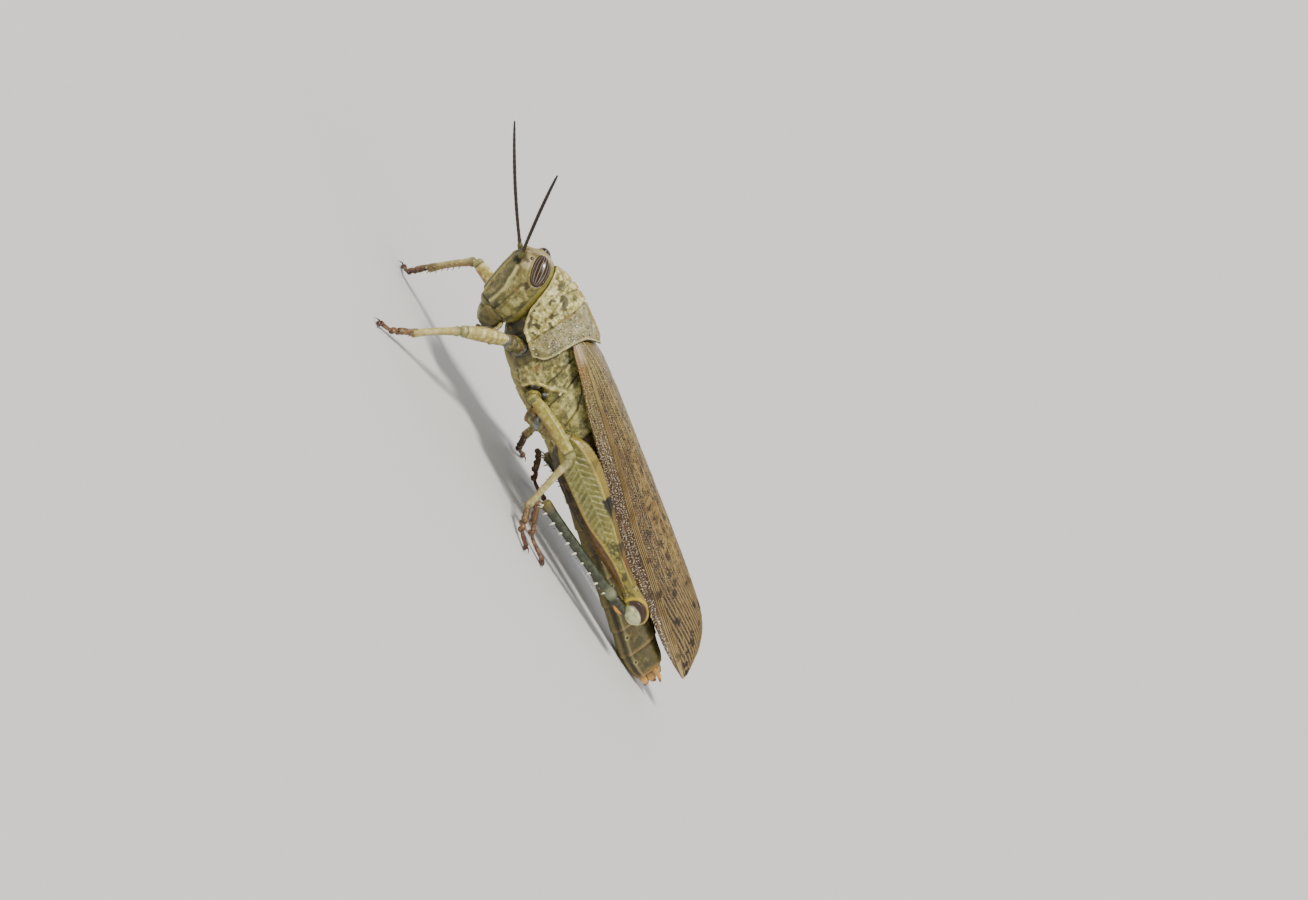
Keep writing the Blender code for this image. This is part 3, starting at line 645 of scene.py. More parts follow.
mouthData = {
    # places are forward, across and up; rows are part of the length, half width, above, below
    "lip": [(1.25, 0, -4.75), (0.95, 0, -5.8), (0.65, 0, -6.75)],
    "lipRows": [(0, 1.75, 0.5, 0.5), (0.18, 2.0, 0.6, 0.5), (0.45, 2.05, 0.6, 0.5), (0.75, 1.85, 0.48, 0.5),
                (1, 1.25, 0.3, 0.35)],
    "lower": [(-1.9, 0, -4.8), (-1.55, 0, -6.2), (-1.2, 0, -7.15)],
    "lowerRows": [(0, 1.9, 0.6, 0.6), (0.5, 1.75, 0.55, 0.55), (0.8, 1.4, 0.5, 0.5), (1, 0.9, 0.3, 0.3)],
    "jaw": [(-0.05, 2.5, -3.6), (0.05, 2.3, -5.0), (0.2, 1.6, -6.8)],
    "jawRows": [(0, 0.5, 1.7, 1.5), (0.5, 0.52, 1.55, 1.35), (0.8, 0.42, 1.1, 0.95), (1, 0.25, 0.4, 0.4)],
    "palps": (
        ("maxillary_palp_", "palpUpper", [(-1.7, 2.6, -4.6), (-1.6, 3.3, -5.3), (-1.2, 3.65, -6.1),
                                          (-0.75, 3.6, -6.8), (-0.4, 3.45, -7.35)], 0.3),
        ("labial_palp_", "palpLower", [(-1.3, 0.95, -7.0), (-1.0, 1.25, -7.6), (-0.5, 1.45, -8.05),
                                       (0.05, 1.4, -8.35)], 0.26)),
    "palpRows": even((0, 0.9), (0.5, 1), (0.9, 1.05), (1, 0.8)),
}


def mouthparts():
    def shaped(name, key, side, around, along, power, change, colors):
        line = [headPlace(ahead, aside * side, above) for ahead, aside, above in mouthData[key]]
        return limb(name, line, mouthData[key + "Rows"], around, along, power, headAhead, change,
                    paint=mouthColors(*colors))

    def lipShape(part, angle, place):
        dent = -0.12 * bump(place[:, 1], 0, 0.16) * ease(0.5, 1.0, part)
        return np.where(np.sin(angle) > 0, dent + 0.05 * (cloud(place, 0.4, 31, 2) - 0.5), 0)

    def lowerShape(part, angle, place):
        return -0.1 * bump(place[:, 1], 0, 0.12) * ease(0.4, 0.8, part)

    def jawShape(part, angle, place):
        return 0.06 * (cloud(place, 0.4, 35, 2) - 0.5) - 0.07 * bump(part, 0.42, 0.03)
    lip = shaped("lipUpper", "lip", 1, 72, 44, 2.9, lipShape, ("8f8a4e", "5c5a2c", 30, 0.25))
    finished(lip, shellFinish, "olive", "labrum")
    lower = shaped("lipLower", "lower", 1, 56, 36, 2.4, lowerShape, ("857b4c", "5a4a2a", 33))
    finished(lower, smoothShell, "olive", "labium")
    for side, word in sideName.items():
        jaw = shaped("jaw" + word.title(), "jaw", side, 56, 40, 3.2, jawShape, ("7d7440", "37301a", 36, 0.8))
        finished(jaw, shellFinish, "olive", "mandible_" + word)
        for node, name, knots, radius in mouthData["palps"]:
            line = [headPlace(ahead, aside * side, above) for ahead, aside, above in knots]
            count = len(knots) - 1

            def joints(part, angle, place):
                return 0.09 * np.sin((part * count) % 1.0 * math.pi) ** 0.6 - 0.06
            palp = limb(name + word.title(), line, scaled(radius, mouthData["palpRows"]), 24, 16 * count, 2.0,
                        (0, 0.3, 1), joints, paint=mouthColors("a89c68", "7a6c3e", 38, 0.3))
            finished(palp, legFinish, "pale", node + word)


antennaData = {
    # middle and tip of each
    "left": ((-68.2, -4.2, 24.6), (-72.2, -7.3, 29.8)),
    "right": ((-70.9, 3.2, 22.2), (-78.3, 6.0, 26.5)),
    "joints": 22, "radius": 0.25, "whip": 0.105,         # the whip begins that far along
    "rows": [
        (0, 1.4, 1.4, 1.4), (0.025, 1.55, 1.55, 1.55), (0.05, 1.5, 1.5, 1.5), (0.064, 1.05, 1.05, 1.05),
        (0.085, 1.15, 1.15, 1.15), (0.105, 0.95, 0.95, 0.95), (0.35, 1.0, 1.0, 0.95), (0.7, 0.95, 0.95, 0.9),
        (0.93, 0.7, 0.7, 0.7), (1, 0.42, 0.42, 0.42)],
}


def antenna(side):
    ahead, aside, above = headData["pit"]
    base = headPlace(ahead, aside * side, above)
    middle, tip = (np.array(x) for x in antennaData[sideName[side]])
    bend = 2 * middle - (base + tip) / 2
    t = np.linspace(0, 1, 25)
    line = np.outer((1 - t) ** 2, base) + np.outer(2 * t * (1 - t), bend) + np.outer(t**2, tip)
    whip = antennaData["whip"]

    def joint(part):
        return ((part - whip) / (1 - whip) * antennaData["joints"]) % 1.0

    def rings(part, angle, place):
        ringed = 0.035 * np.sin(np.clip(joint(part), 0, 1) * math.pi) ** 0.4 - 0.03
        return np.where(part > whip, ringed, 0.02 * (cloud(place, 0.3, 41, 2) - 0.5))

    def paint(part, angle, place):
        return layered("2e1f16",
            ("5a3d28", bump(joint(part), 0.08, 0.12) * 0.7 * ease(0.1, 0.2, part)),
            ("54401f", ease(0.35, 0.1, part) * 0.5),
            ("7c7840", ease(0.1, 0.03, part) * 0.9),
            ("160f0b", ease(0.6, 1.0, part) * 0.5))
    rows = scaled(antennaData["radius"], antennaData["rows"])
    made = limb("antenna" + sideName[side].title(), line, rows, 20, 300, 2.0, (0, 0, 1), rings, paint=paint)
    finished(made, antennaFinish, "brown", "antenna_" + sideName[side])


headShell()
eyeFinish = eyeMaterial()
for side in sideName:
    eye(side)
    antenna(side)
ocelli()
mouthparts()
print("head, eyes, antennae and mouthparts made")


# Pronotum.
pronotumData = {
    "slope": 0.28, "thick": 0.38, "middle": -53.0, "girth": 11.5,         # girth: from the crest to the lower margin
    "lobes": [0.0, 0.235, 0.35, 0.5, 1.02],                               # where the crest dips
    # part of the way round from the crest to the lower margin: half width, height, front edge, rear edge
    "rows": [
        (0.0, 0.0, 22.8, -59.35, -46.6), (0.12, 1.3, 22.35, -59.1, -47.6), (0.26, 2.9, 21.4, -58.75, -48.8),
        (0.40, 4.2, 19.8, -58.2, -49.4), (0.56, 4.85, 17.9, -57.7, -49.6), (0.74, 5.0, 16.2, -57.2, -49.6),
        (0.88, 4.9, 14.9, -56.4, -49.9), (1.0, 4.75, 13.6, -54.9, -51.1)],
    # X, drop of the crest, breadth
    "crest": [(-59.7, 1.2, 0.89), (-58.4, 0.75, 0.92), (-57.1, 0.4, 0.96), (-55.3, 0.2, 0.99), (-53.0, 0.25, 1.0),
              (-50.5, 0.65, 1.03), (-46.6, 1.3, 1.05)],
    # cross grooves: how far round, and how far back as a part of the length
    "grooves": [
        ([(0, 0.235), (0.2, 0.215), (0.36, 0.2), (0.5, 0.18), (0.62, 0.2)], 0.11, 0.6),
        ([(0, 0.35), (0.15, 0.31), (0.3, 0.29), (0.53, 0.355), (0.72, 0.33), (0.86, 0.26)], 0.14, 0.9),
        ([(0, 0.5), (0.12, 0.53), (0.27, 0.565), (0.42, 0.54), (0.56, 0.54), (0.75, 0.5), (1.0, 0.47)], 0.2, 1.1)],
}


def pronotumPlace(lengthPart, roundPart):
    part = np.abs(roundPart)
    halfWidth, height, front, rear = rowsAt(pronotumData["rows"], part)
    x = front + (rear - front) * lengthPart
    drop, breadth = rowsAt(pronotumData["crest"], x)
    height = height - drop * (1 - part) - pronotumData["slope"] * (x - pronotumData["middle"]) * part**3
    return np.column_stack([x, np.sign(roundPart) * halfWidth * breadth, height]), rear - front


def pronotum():
    piece, u, along = newGrid("pronotumShield", 210, 115)
    around = u * 2 - 1
    place, length = pronotumPlace(along, around)
    setPoints(piece, place)
    closeUp(piece, 0)
    n = outward(piece)
    if (n[:, 2] * (np.abs(around) < 0.2)).sum() < 0:
        n = -n
    part = np.abs(around)
    noise, broad, fine = cloud(place, 0.55, 61, 3), cloud(place, 1.3, 62, 2), cloud(place, 0.25, 63, 2)
    groove, shadow, notch = np.zeros(len(place)), np.zeros(len(place)), np.zeros(len(place))
    for line, depth, reach in pronotumData["grooves"]:
        where = rowsAt(line, part)[0]
        off = (along - where) * length + (noise - 0.5) * 0.12
        fade = ease(reach, reach - 0.15, part) if reach < 1.05 else 1.0
        groove += (-depth * bump(off, 0, 0.13) + 0.045 * bump(np.abs(off), 0.34, 0.16)) * fade
        shadow = np.maximum(shadow, bump(off, 0, 0.12) * fade)
        notch = np.maximum(notch, bump((along - line[0][1]) * length, 0, 0.26))
    rearPart = ease(-0.1, 0.25, off)               # behind the last groove
    arch = 0
    for a, b in zip(pronotumData["lobes"], pronotumData["lobes"][1:]):
        hump = np.sin(np.clip((along - a) / (b - a), 0, 1) * math.pi) ** 0.5
        arch = arch + np.where((along >= a) & (along < b), hump, 0)
    keel = (0.14 + 0.14 * arch) * (1 - 0.7 * notch) * ease(0, 0.02, along)
    keelShape = 0.75 * bump(place[:, 1], 0, 0.2) + 0.25 * bump(place[:, 1], 0, 0.55)
    move = groove + keel * keelShape
    first, owner = cells(place, 0.78, 64)
    bead = ease(0.21, 0.08, first) * (owner > 0.25) * ease(0.12, 0.3, place[:, 1] ** 2)
    low, owner2 = cells(place, 0.5, 66)
    smallBead = ease(0.2, 0.08, low) * (owner2 > 0.55)
    dots = np.clip(bead * (0.25 + 0.75 * rearPart) + smallBead * rearPart, 0, 1)
    pit = cells(place, 0.32, 67)[0]
    move += 0.13 * bead * (0.2 + 0.8 * rearPart) + 0.07 * smallBead * rearPart
    move -= 0.06 * ease(0.36, 0.1, pit) * (0.35 + 0.65 * rearPart)
    move += (0.16 * (1 - rearPart) + 0.05 * rearPart) * (noise - 0.5) + 0.03 * (fine - 0.5)
    girth = pronotumData["girth"]
    front, rear, lower = along * length, (1 - along) * length, (1 - part) * girth
    move += 0.12 * bump(front, 0.22, 0.17) - 0.06 * bump(front, 0.62, 0.2)
    move -= 0.42 * ease(1.5, 0.1, rear)                    # the hind edge closes down on the wings
    move += 0.08 * bump(rear, 0.16, 0.13) + 0.1 * bump(lower, 0.22, 0.18) - 0.05 * bump(lower, 0.6, 0.2)
    move += 0.08 * bump(part, 0.36, 0.05) * rearPart * ease(0.0, 1.2, rear)                 # low shoulder keel
    setPoints(piece, place + n * move[:, None])
    # colors: mottled in front of the last groove, pale and beaded behind it
    blot = cloud(place, 0.85, 68, 2)
    color = layered("bcb26e",
        ("f0e7ac", ease(0.44, 0.58, noise) * 0.9),
        ("45411a", ease(0.53, 0.6, blot) * 0.88 * ease(0.2, 0.45, part + 0.2)),
        ("5a5528", ease(0.58, 0.66, fine) * 0.5 * (1 - rearPart)),
        ("75702f", ease(0.52, 0.66, broad) * 0.35))
    pale = layered("aca27c",
        ("cfc7a8", ease(0.46, 0.62, noise) * 0.6),
        ("3f3a20", ease(0.38, 0.16, pit) * 0.85),
        ("6f6a48", ease(0.54, 0.66, broad) * 0.5),
        ("8f8645", ease(0.62, 0.85, part) * 0.55))
    crest = bump(place[:, 1], 0, 0.26)
    tint(piece, layered(color,
        (pale, rearPart * (0.92 - 0.2 * ease(0.7, 0.95, part))),
        ("fbf8ea", dots * (0.3 + 0.7 * rearPart)),
        ("3f391b", bump(first, 0.29, 0.07) * (owner > 0.25) * rearPart * 0.7),
        ("a58244", crest * (0.3 + 0.45 * arch) * (1 - notch)),
        ("dccf96", bump(place[:, 1], 0, 0.13) * (1 - notch) * 0.5),
        ("4b4220", shadow * 0.6),
        ("9d8048", ease(1.0, 0.5, np.hypot(off / 0.4, (part - 0.35) * girth / 0.55) + (noise - 0.5)) * 0.75),
        ("d3c88d", bump(front, 0.2, 0.18) * 0.7),
        ("e0d6a6", bump(rear, 0.3, 0.12) * 0.6),
        ("4a3517", ease(0.17, 0.05, rear) * 0.9),
        ("c7bb7c", bump(lower, 0.2, 0.2) * 0.6)))
    wall = piece.modifiers.new("wall", "SOLIDIFY")
    wall.thickness, wall.offset = pronotumData["thick"], -1.0
    applyAll(piece)
    closeUp(piece, 1e-5)
    finished(piece, shellFinish, "olive", "pronotum")


# Thorax and abdomen.
def trunk(name, rows, around, along, power, change, paint, tilt=0.0, caps=0.5):
    # Closed body section along X. A row is (X, half width, top, bottom, widest level).
    piece, u, v = newGrid(name, around, along)
    x = rows[0][0] + (rows[-1][0] - rows[0][0]) * v
    halfWidth, top, bottom, waist = rowsAt(rows, x)
    across, height = sectionPoint(2 * math.pi * u, halfWidth, top - waist, waist - bottom, power)
    closing = np.clip(np.minimum(x - rows[0][0], rows[-1][0] - x) / caps, 0, 1)
    closing = np.sqrt(np.clip(1 - (1 - closing) ** 2, 0, 1))
    lean = tilt * (1 - v)
    place = np.column_stack([x - lean * height * closing, across * closing, waist + height * closing])
    setPoints(piece, place)
    closeUp(piece)
    p, n = points(piece), outward(piece)
    move = change(p, n)
    p = p + n * move[:, None]
    p[:, 2] = np.maximum(p[:, 2], 0.0)
    setPoints(piece, p)
    tint(piece, paint(p, n))
    return piece


prothoraxData = {
    "rows": [
        (-57.2, 2.2, 19.0, 11.8, 15.4), (-56.2, 2.95, 20.0, 11.0, 15.4), (-55.2, 3.5, 20.5, 10.2, 15.0),
        (-53.3, 3.75, 20.7, 9.5, 14.4), (-51.6, 3.9, 20.5, 9.1, 14.2), (-50.2, 3.95, 19.6, 8.9, 14.0),
        (-49.6, 3.6, 18.6, 9.2, 13.8)],
    # peg between the fore legs
    "peg": [(-54.3, 0, 9.9), (-54.5, 0, 8.9), (-54.7, 0, 8.0)],
    "pegRows": [(0, 0.8, 0.7, 0.7), (0.5, 0.6, 0.5, 0.5), (1, 0.4, 0.35, 0.35)],
}
thoraxData = {
    "rows": [
        (-50.9, 3.5, 18.6, 9.4, 13.7), (-50.3, 4.15, 19.0, 9.0, 13.6), (-49.4, 4.6, 19.0, 8.6, 13.1),
        (-47.0, 4.8, 18.7, 8.1, 12.5), (-43.0, 4.8, 17.9, 7.8, 12.0), (-39.5, 4.6, 17.0, 7.6, 11.6),
        (-37.5, 4.25, 16.4, 7.4, 11.4), (-36.9, 3.9, 15.6, 7.5, 11.2)],
    # seams on the sides as (X, height) points, with their depth
    "seams": [
        ([(-46.6, 10.9), (-46.8, 12.8), (-47.05, 14.4), (-47.35, 15.9), (-47.7, 17.6)], 0.15),
        ([(-43.6, 9.8), (-44.1, 12.2), (-44.5, 14.2), (-45.0, 15.6), (-45.5, 17.2)], 0.2),
        ([(-39.6, 9.2), (-40.4, 12.2), (-41.3, 14.3), (-42.5, 15.8), (-43.9, 17.0)], 0.2),
        ([(-50.2, 10.3), (-48.6, 9.6), (-44.2, 9.1), (-38.4, 8.8)], 0.14)],
    "ridge": [(-48.1, 9.8), (-47.9, 11.3), (-47.1, 12.25), (-45.9, 13.05), (-44.9, 14.1), (-44.5, 14.5)],
    "hollow": (-46.3, 10.6), "knob": (-44.7, 13.75),
    "rust": (-49.3, 12.9, 0.7, 0.45), "redder": (-47.9, 9.4, 0.35, 0.6),      # X, height, and reach both ways
    "weltRows": [(0, 0.1, 0.14, 0.14), (0.2, 0.2, 0.3, 0.26), (0.45, 0.16, 0.22, 0.2), (0.85, 0.11, 0.15, 0.14),
                 (1, 0.07, 0.1, 0.1)],
    "plates": (-47.6, -44.4, -41.2, -38.9),                # where the plates of the underside meet
}


def prothorax():
    def change(p, n):
        groove = bump(p[:, 0] + 54.6, 0.15 * (p[:, 2] - 12), 0.2)
        return 0.12 * (cloud(p, 0.7, 71, 3) - 0.5) + 0.04 * (cloud(p, 0.25, 72, 2) - 0.5) - 0.1 * groove

    def paint(p, n):
        noise = cloud(p, 0.6, 73, 3)
        # olive laid on dark, with near-black blotches: painted shade under the shield
        return layered("67602f",
            ("948b52", ease(0.5, 0.65, noise) * 0.6),
            ("2f2b14", ease(0.45, 0.65, cloud(p, 1.2, 74, 2)) * 0.8),
            ("c5bb84", ease(10.6, 9.4, p[:, 2]) * 0.5))
    made = trunk("prothoraxBody", prothoraxData["rows"], 180, 80, 2.5,
                 change, paint, tilt=0.3)
    # the peg is darker at its root: painted shade where it meets the body
    peg = limb("peg", prothoraxData["peg"], prothoraxData["pegRows"], 32, 24, 2.0, (1, 0, 0),
               paint=lambda part, angle, place: layered("5c562c", ("9a9055", ease(0.1, 0.9, part))))
    finished(joined("prothoraxBody", [made, peg]), shellFinish, "olive", "prothorax")


def thorax():
    def marks(p, n):
        # how much the points are on the flank or below, how far from each feature, and the beads
        flank = ease(0.35, 0.7, np.abs(n[:, 1]))
        spots, owner = cells(p, 0.7, 83)
        return (flank, ease(-0.5, -0.85, n[:, 2]), lineDistance(p[:, 0], p[:, 2], thoraxData["ridge"]),
                awayFrom(p, *thoraxData["hollow"]), awayFrom(p, *thoraxData["knob"]), spots, (owner > 0.62) * flank)

    def change(p, n):
        flank, under, ridge, hollow, knob, spots, beaded = marks(p, n)
        noise = cloud(p, 0.8, 80, 2)
        move = 0.22 * (cloud(p, 0.8, 81, 3) - 0.5) + 0.05 * (cloud(p, 0.25, 82, 2) - 0.5)
        move += flank * 0.25 * (cloud(p, 2.2, 88, 2) - 0.5)
        for line, depth in thoraxData["seams"]:
            off = lineDistance(p[:, 0], p[:, 2], line)
            move += flank * (-depth * bump(off, 0, 0.1) * (0.6 + noise) + 0.07 * bump(off, 0.35, 0.18))
        move += flank * 0.2 * bump(ridge, 0, 0.3)
        move -= flank * 0.55 * ease(2.0, 0.9, hollow)
        move += 0.08 * ease(0.2, 0.06, spots) * beaded
        move += 0.22 * bump(knob, 0, 0.26) * flank
        for x in thoraxData["plates"]:
            move -= under * 0.14 * bump(p[:, 0] - x + 0.12 * np.abs(p[:, 1]), 0, 0.15)
        move -= under * 0.08 * bump(p[:, 1], 0, 0.14)
        return move

    def paint(p, n):
        flank, under, ridge, hollow, knob, spots, beaded = marks(p, n)
        noise, broad = cloud(p, 0.45, 85, 3), cloud(p, 0.75, 86, 3)
        rear = ease(-45.5, -43.0, p[:, 0])
        color = layered("968e4f",
            ("c0b978", rear * 0.8),
            ("dad192", ease(0.45, 0.62, noise) * (0.7 + 0.25 * rear)),
            ("4b4720", ease(0.5, 0.64, broad) * 0.6 * (1 - 0.75 * rear)),
            ("6d6e52", ease(0.55, 0.66, cloud(p, 0.9, 89, 2)) * 0.5),
            ("3f3a1a", ease(0.56, 0.66, cloud(p, 0.35, 87, 2)) * 0.55))
        for line, _ in thoraxData["seams"]:
            off = lineDistance(p[:, 0], p[:, 2], line)
            color = layered(color,
                ("1f1b0a", flank * bump(off, 0, 0.1) * (0.6 + 0.35 * ease(0.35, 0.6, noise))),
                ("c9bf7e", flank * bump(off, 0.34, 0.12) * 0.4 * ease(0.45, 0.6, noise)))
        rust, redder = awayFrom(p, *thoraxData["rust"]), awayFrom(p, *thoraxData["redder"])
        return layered(color,
            # dark brown in the hollow round the middle leg's socket: painted shade
            ("2b2412", flank * ease(1.9, 1.2, hollow) * 0.85),
            ("ddd390", flank * bump(ridge, 0, 0.22) * 0.97),
            ("8d5a30", flank * ease(1.0, 0.4, rust + (noise - 0.5)) * 0.75),
            ("9c5f2c", flank * ease(1.0, 0.5, redder + (noise - 0.5)) * 0.6),
            ("ece6c4", ease(0.2, 0.08, spots) * beaded * 0.75),
            ("d9d0a0", bump(knob, 0, 0.22) * flank * 0.7),
            ("b0a566", under * 0.5))
    made = trunk("thoraxBody", thoraxData["rows"], 230, 140, 2.35, change, paint)
    p, parts = points(made), [made]

    def welt(part, angle, place):
        return layered("b3a95f", ("e0d89c", ease(0.45, 0.6, cloud(place, 0.35, 90, 2)) * 0.8))
    for side in sideName:
        # pale arched welt over the middle leg, and the white knob at its end
        def nearest(x, z):
            return p[np.argmin(awayFrom(p, x, z) + 20 * (p[:, 1] * side > -2))]
        line = [(x, nearest(x, z)[1] + 0.1 * side, z) for x, z in thoraxData["ridge"]]
        parts.append(limb("welt", line, thoraxData["weltRows"], 28, 70, 2.0, paint=welt,
                          change=lambda part, angle, place: 0.14 * (cloud(place, 0.45, 84, 2) - 0.5)))
        knob = nearest(*thoraxData["knob"])
        line = [knob + (-0.14, -0.04 * side, 0), knob + (0.14, -0.04 * side, 0)]
        parts.append(limb("knob", line, even((0, 0.22), (1, 0.22)), 20, 16, 2.0, paint=plain("fdf8e4"),
                          ends=(0.9, 0.9)))
    finished(joined("thoraxBody", parts), shellFinish, "olive", "thorax")


abdomenData = {
    "segments": 9, "start": -37.1, "end": -1.8,
    "fold": -0.42, "side": 3.2,            # level of the fold along the flank, and millimetres to a level
    # X, half width, top, bottom
    "rows": [(-38.4, 3.6, 15.6, 8.0), (-37.1, 4.1, 16.1, 7.2), (-33.0, 3.95, 15.2, 6.3), (-28.0, 3.8, 13.7, 5.1),
             (-22.0, 3.6, 11.7, 3.7), (-16.0, 3.35, 9.5, 2.3), (-10.0, 3.0, 7.4, 0.95), (-5.5, 2.6, 5.8, -0.1),
             (-3.2, 2.2, 5.1, -0.1), (-1.8, 1.7, 4.3, 0.4), (-1.3, 1.3, 3.9, 0.7)],
}


def abdomen():
    rows = [(x, w, top, bottom, bottom + (top - bottom) * 0.45) for x, w, top, bottom in abdomenData["rows"]]
    span = (abdomenData["end"] - abdomenData["start"]) / abdomenData["segments"]

    def marks(p, n):
        # place on a plate from its front to its rear, level over the fold, and distance from a breathing hole
        _, top, _, waist = rowsAt(rows, p[:, 0])
        level = (p[:, 2] - waist) / np.maximum(top - waist, 0.5)
        count = (p[:, 0] + 0.22 * level - abdomenData["start"]) / span
        inside, fold = count - np.floor(count), level - abdomenData["fold"]
        hole = np.hypot((inside - 0.3) * span / 0.3, (fold - 0.26) * abdomenData["side"] / 0.24)
        return inside, fold, hole, ease(0.3, 0.6, np.abs(n[:, 1]))

    def change(p, n):
        inside, fold, hole, flank = marks(p, n)
        move = -0.12 + 0.19 * inside ** 1.6
        move = np.where(inside > 0.955, move - 0.26 * ease(0.955, 1.0, inside), move)
        move -= 0.24 * bump(fold, 0, 0.085) * flank
        move += 0.07 * bump(fold, 0.2, 0.09) * flank
        move += 0.07 * (cloud(p, 0.8, 91, 3) - 0.5) + 0.025 * (cloud(p, 0.22, 92, 2) - 0.5)
        move += 0.09 * bump(p[:, 1], 0, 0.3) * (n[:, 2] > 0)
        move -= 0.14 * ease(1.0, 0.4, hole) * flank
        return move * ease(-38.2, -37.0, p[:, 0])

    def paint(p, n):
        inside, fold, hole, flank = marks(p, n)
        noise, broad = cloud(p, 0.5, 93, 3), cloud(p, 1.5, 94, 2)
        dark = np.hypot((inside - 0.62) * span / 0.7, (fold - 0.75) * abdomenData["side"] / 0.7) + (noise - 0.5)
        # the abdomen's own olive, laid on darker as painted shade under the wings and hind thighs
        return layered("6c623a",
            ("8c8150", ease(0.48, 0.66, noise) * 0.6),
            ("5a5430", ease(0.5, 0.7, broad) * 0.6),
            ("4b4526", ease(0.16, 0.02, inside) * 0.55),
            ("a58d58", ease(0.8, 0.92, inside) * 0.7),
            ("33301a", ease(0.955, 0.985, inside) * 0.85),
            ("9c8f5c", ease(0.05, -0.2, fold) * 0.6),
            ("3b371e", bump(fold, 0, 0.09) * flank * 0.7),
            ("c9c290", bump(fold, 0.22, 0.06) * flank * 0.35),
            ("d2c893", bump(hole, 1.1, 0.3) * flank * 0.6),
            ("201c10", ease(0.9, 0.4, hole) * flank * 0.9),
            ("4d4826", ease(1.1, 0.5, dark) * flank * 0.55),
            ("b98a44", ease(-3.2, -1.4, p[:, 0]) * 0.35))
    made = trunk("abdomenBody", rows, 170, 330, 2.1, change, paint)
    finished(made, shellFinish, "olive", "abdomen")


endData = {
    "upper": [(-2.6, -0.62, 2.75), (-1.5, -0.66, 2.55), (-0.7, -0.6, 2.3), (-0.1, -0.55, 2.6)],
    "upperRows": [(0, 0.66, 0.85, 0.75), (0.5, 0.6, 0.72, 0.62), (0.78, 0.42, 0.46, 0.4), (1, 0.12, 0.12, 0.12)],
    "lower": [(-2.6, -0.6, 1.45), (-1.5, -0.62, 1.3), (-0.7, -0.56, 1.25), (-0.2, -0.5, 0.8)],
    "lowerRows": [(0, 0.62, 0.7, 0.75), (0.5, 0.56, 0.56, 0.6), (0.78, 0.4, 0.38, 0.42), (1, 0.12, 0.12, 0.12)],
    "plate": [(-2.9, 0, 3.9), (-1.6, 0, 3.75), (-0.6, 0, 3.35)],
    "plateRows": [(0, 1.0, 0.3, 0.3), (0.5, 0.9, 0.26, 0.26), (1, 0.35, 0.16, 0.16)],
    "cercus": [(-2.2, -1.45, 3.35), (-1.0, -1.65, 3.5), (0.0, -1.85, 3.25)],
    "cercusRows": [(0, 0.38, 0.4, 0.4), (0.5, 0.3, 0.32, 0.32), (1, 0.1, 0.1, 0.1)],
}


def abdomenEnd():
    def piece(name, key, side, around, along, power, seed, tipCode):
        def paint(part, angle, place):
            return layered(shade("c48c3e", 1),
                (shade("e2b45e", 1), ease(0.45, 0.65, cloud(place, 0.3, seed, 3)) * 0.6),
                ("6e4c22", ease(0.5, 0.3, part) * 0.4),
                (tipCode, ease(0.6, 0.9, part) * 0.9))
        return limb(name, sided(endData[key], side), endData[key + "Rows"], around, along, power, paint=paint)
    valves = [piece("valve", key, side, 32, 36, 2.4, seed, "2a1a10")
              for side in sideName for key, seed in (("upper", 101), ("lower", 103))]
    finished(joined("ovipositorValves", valves), hornFinish, "sole", "ovipositor")
    finished(piece("endPlate", "plate", 1, 36, 30, 2.3, 105, "8a7440"), smoothShell, "olive")
    for side, word in sideName.items():
        horn = piece("cercusCone" + word.title(), "cercus", side, 24, 28, 2.0, 107, "5b4420")
        finished(horn, smoothShell, "olive", "cercus_" + word)


pronotum()
prothorax()
thorax()
abdomen()
abdomenEnd()
print("pronotum, thorax and abdomen made")


# Wings.
wingData = {
    "overlap": {1: 0.32, -1: 0.05}, "thick": 0.22,       # how far each wing passes the midline
    "dense": 0.73,                                       # part of the way round where the fine veins lie
    # X, crest, half width, height of the lower margin
    "rows": [
        (-49.6, 20.1, 3.6, 18.6), (-48.2, 20.45, 4.35, 18.1), (-45.4, 20.7, 5.0, 17.3), (-41.0, 20.1, 5.25, 15.7),
        (-35.3, 19.15, 5.2, 13.9), (-29.8, 18.1, 5.0, 12.1), (-21.8, 16.65, 4.55, 9.5), (-12.5, 14.8, 3.6, 7.85),
        (-7.0, 13.5, 2.7, 6.85), (-3.6, 12.1, 1.95, 6.25), (-0.8, 9.8, 1.4, 6.0), (1.3, 6.9, 1.1, 5.95)],
    # long veins: part of the way round from the midline to the lower margin, along the wing from base to tip
    "veins": [
        ([(0, 0.9), (0.2, 0.915), (0.5, 0.935), (0.8, 0.96), (1, 0.985)], 0.03, 0.25),
        ([(0, 0.69), (0.2, 0.64), (0.5, 0.62), (0.75, 0.68), (1, 0.77)], 0.06, 0.7),
        ([(0, 0.66), (0.2, 0.58), (0.45, 0.53), (0.7, 0.56), (1, 0.64)], 0.06, 0.6),
        ([(0, 0.6), (0.2, 0.49), (0.45, 0.43), (0.7, 0.44), (1, 0.5)], 0.05, 0.6),
        ([(0, 0.5), (0.2, 0.38), (0.45, 0.32), (0.7, 0.31), (1, 0.36)], 0.06, 0.7),
        ([(0, 0.34), (0.2, 0.25), (0.45, 0.19), (0.7, 0.16), (1, 0.18)], 0.05, 0.6),
        ([(0, 0.2), (0.25, 0.13), (0.5, 0.08), (1, 0.05)], 0.05, 0.6)],
    # four close strong veins beside one line
    "bundle": [(0, 0.772), (0.25, 0.762), (0.42, 0.775), (0.52, 0.797), (0.67, 0.836), (0.8, 0.882), (0.9, 0.902),
               (1, 0.925)],
    "bundleSteps": (0.029, 0.01, -0.01, -0.029),
}
wingData["veins"] += [([(t, where + step * (0.9 + 0.35 * t)) for t, where in wingData["bundle"]], 0.1, 1.0)
                      for step in wingData["bundleSteps"]]


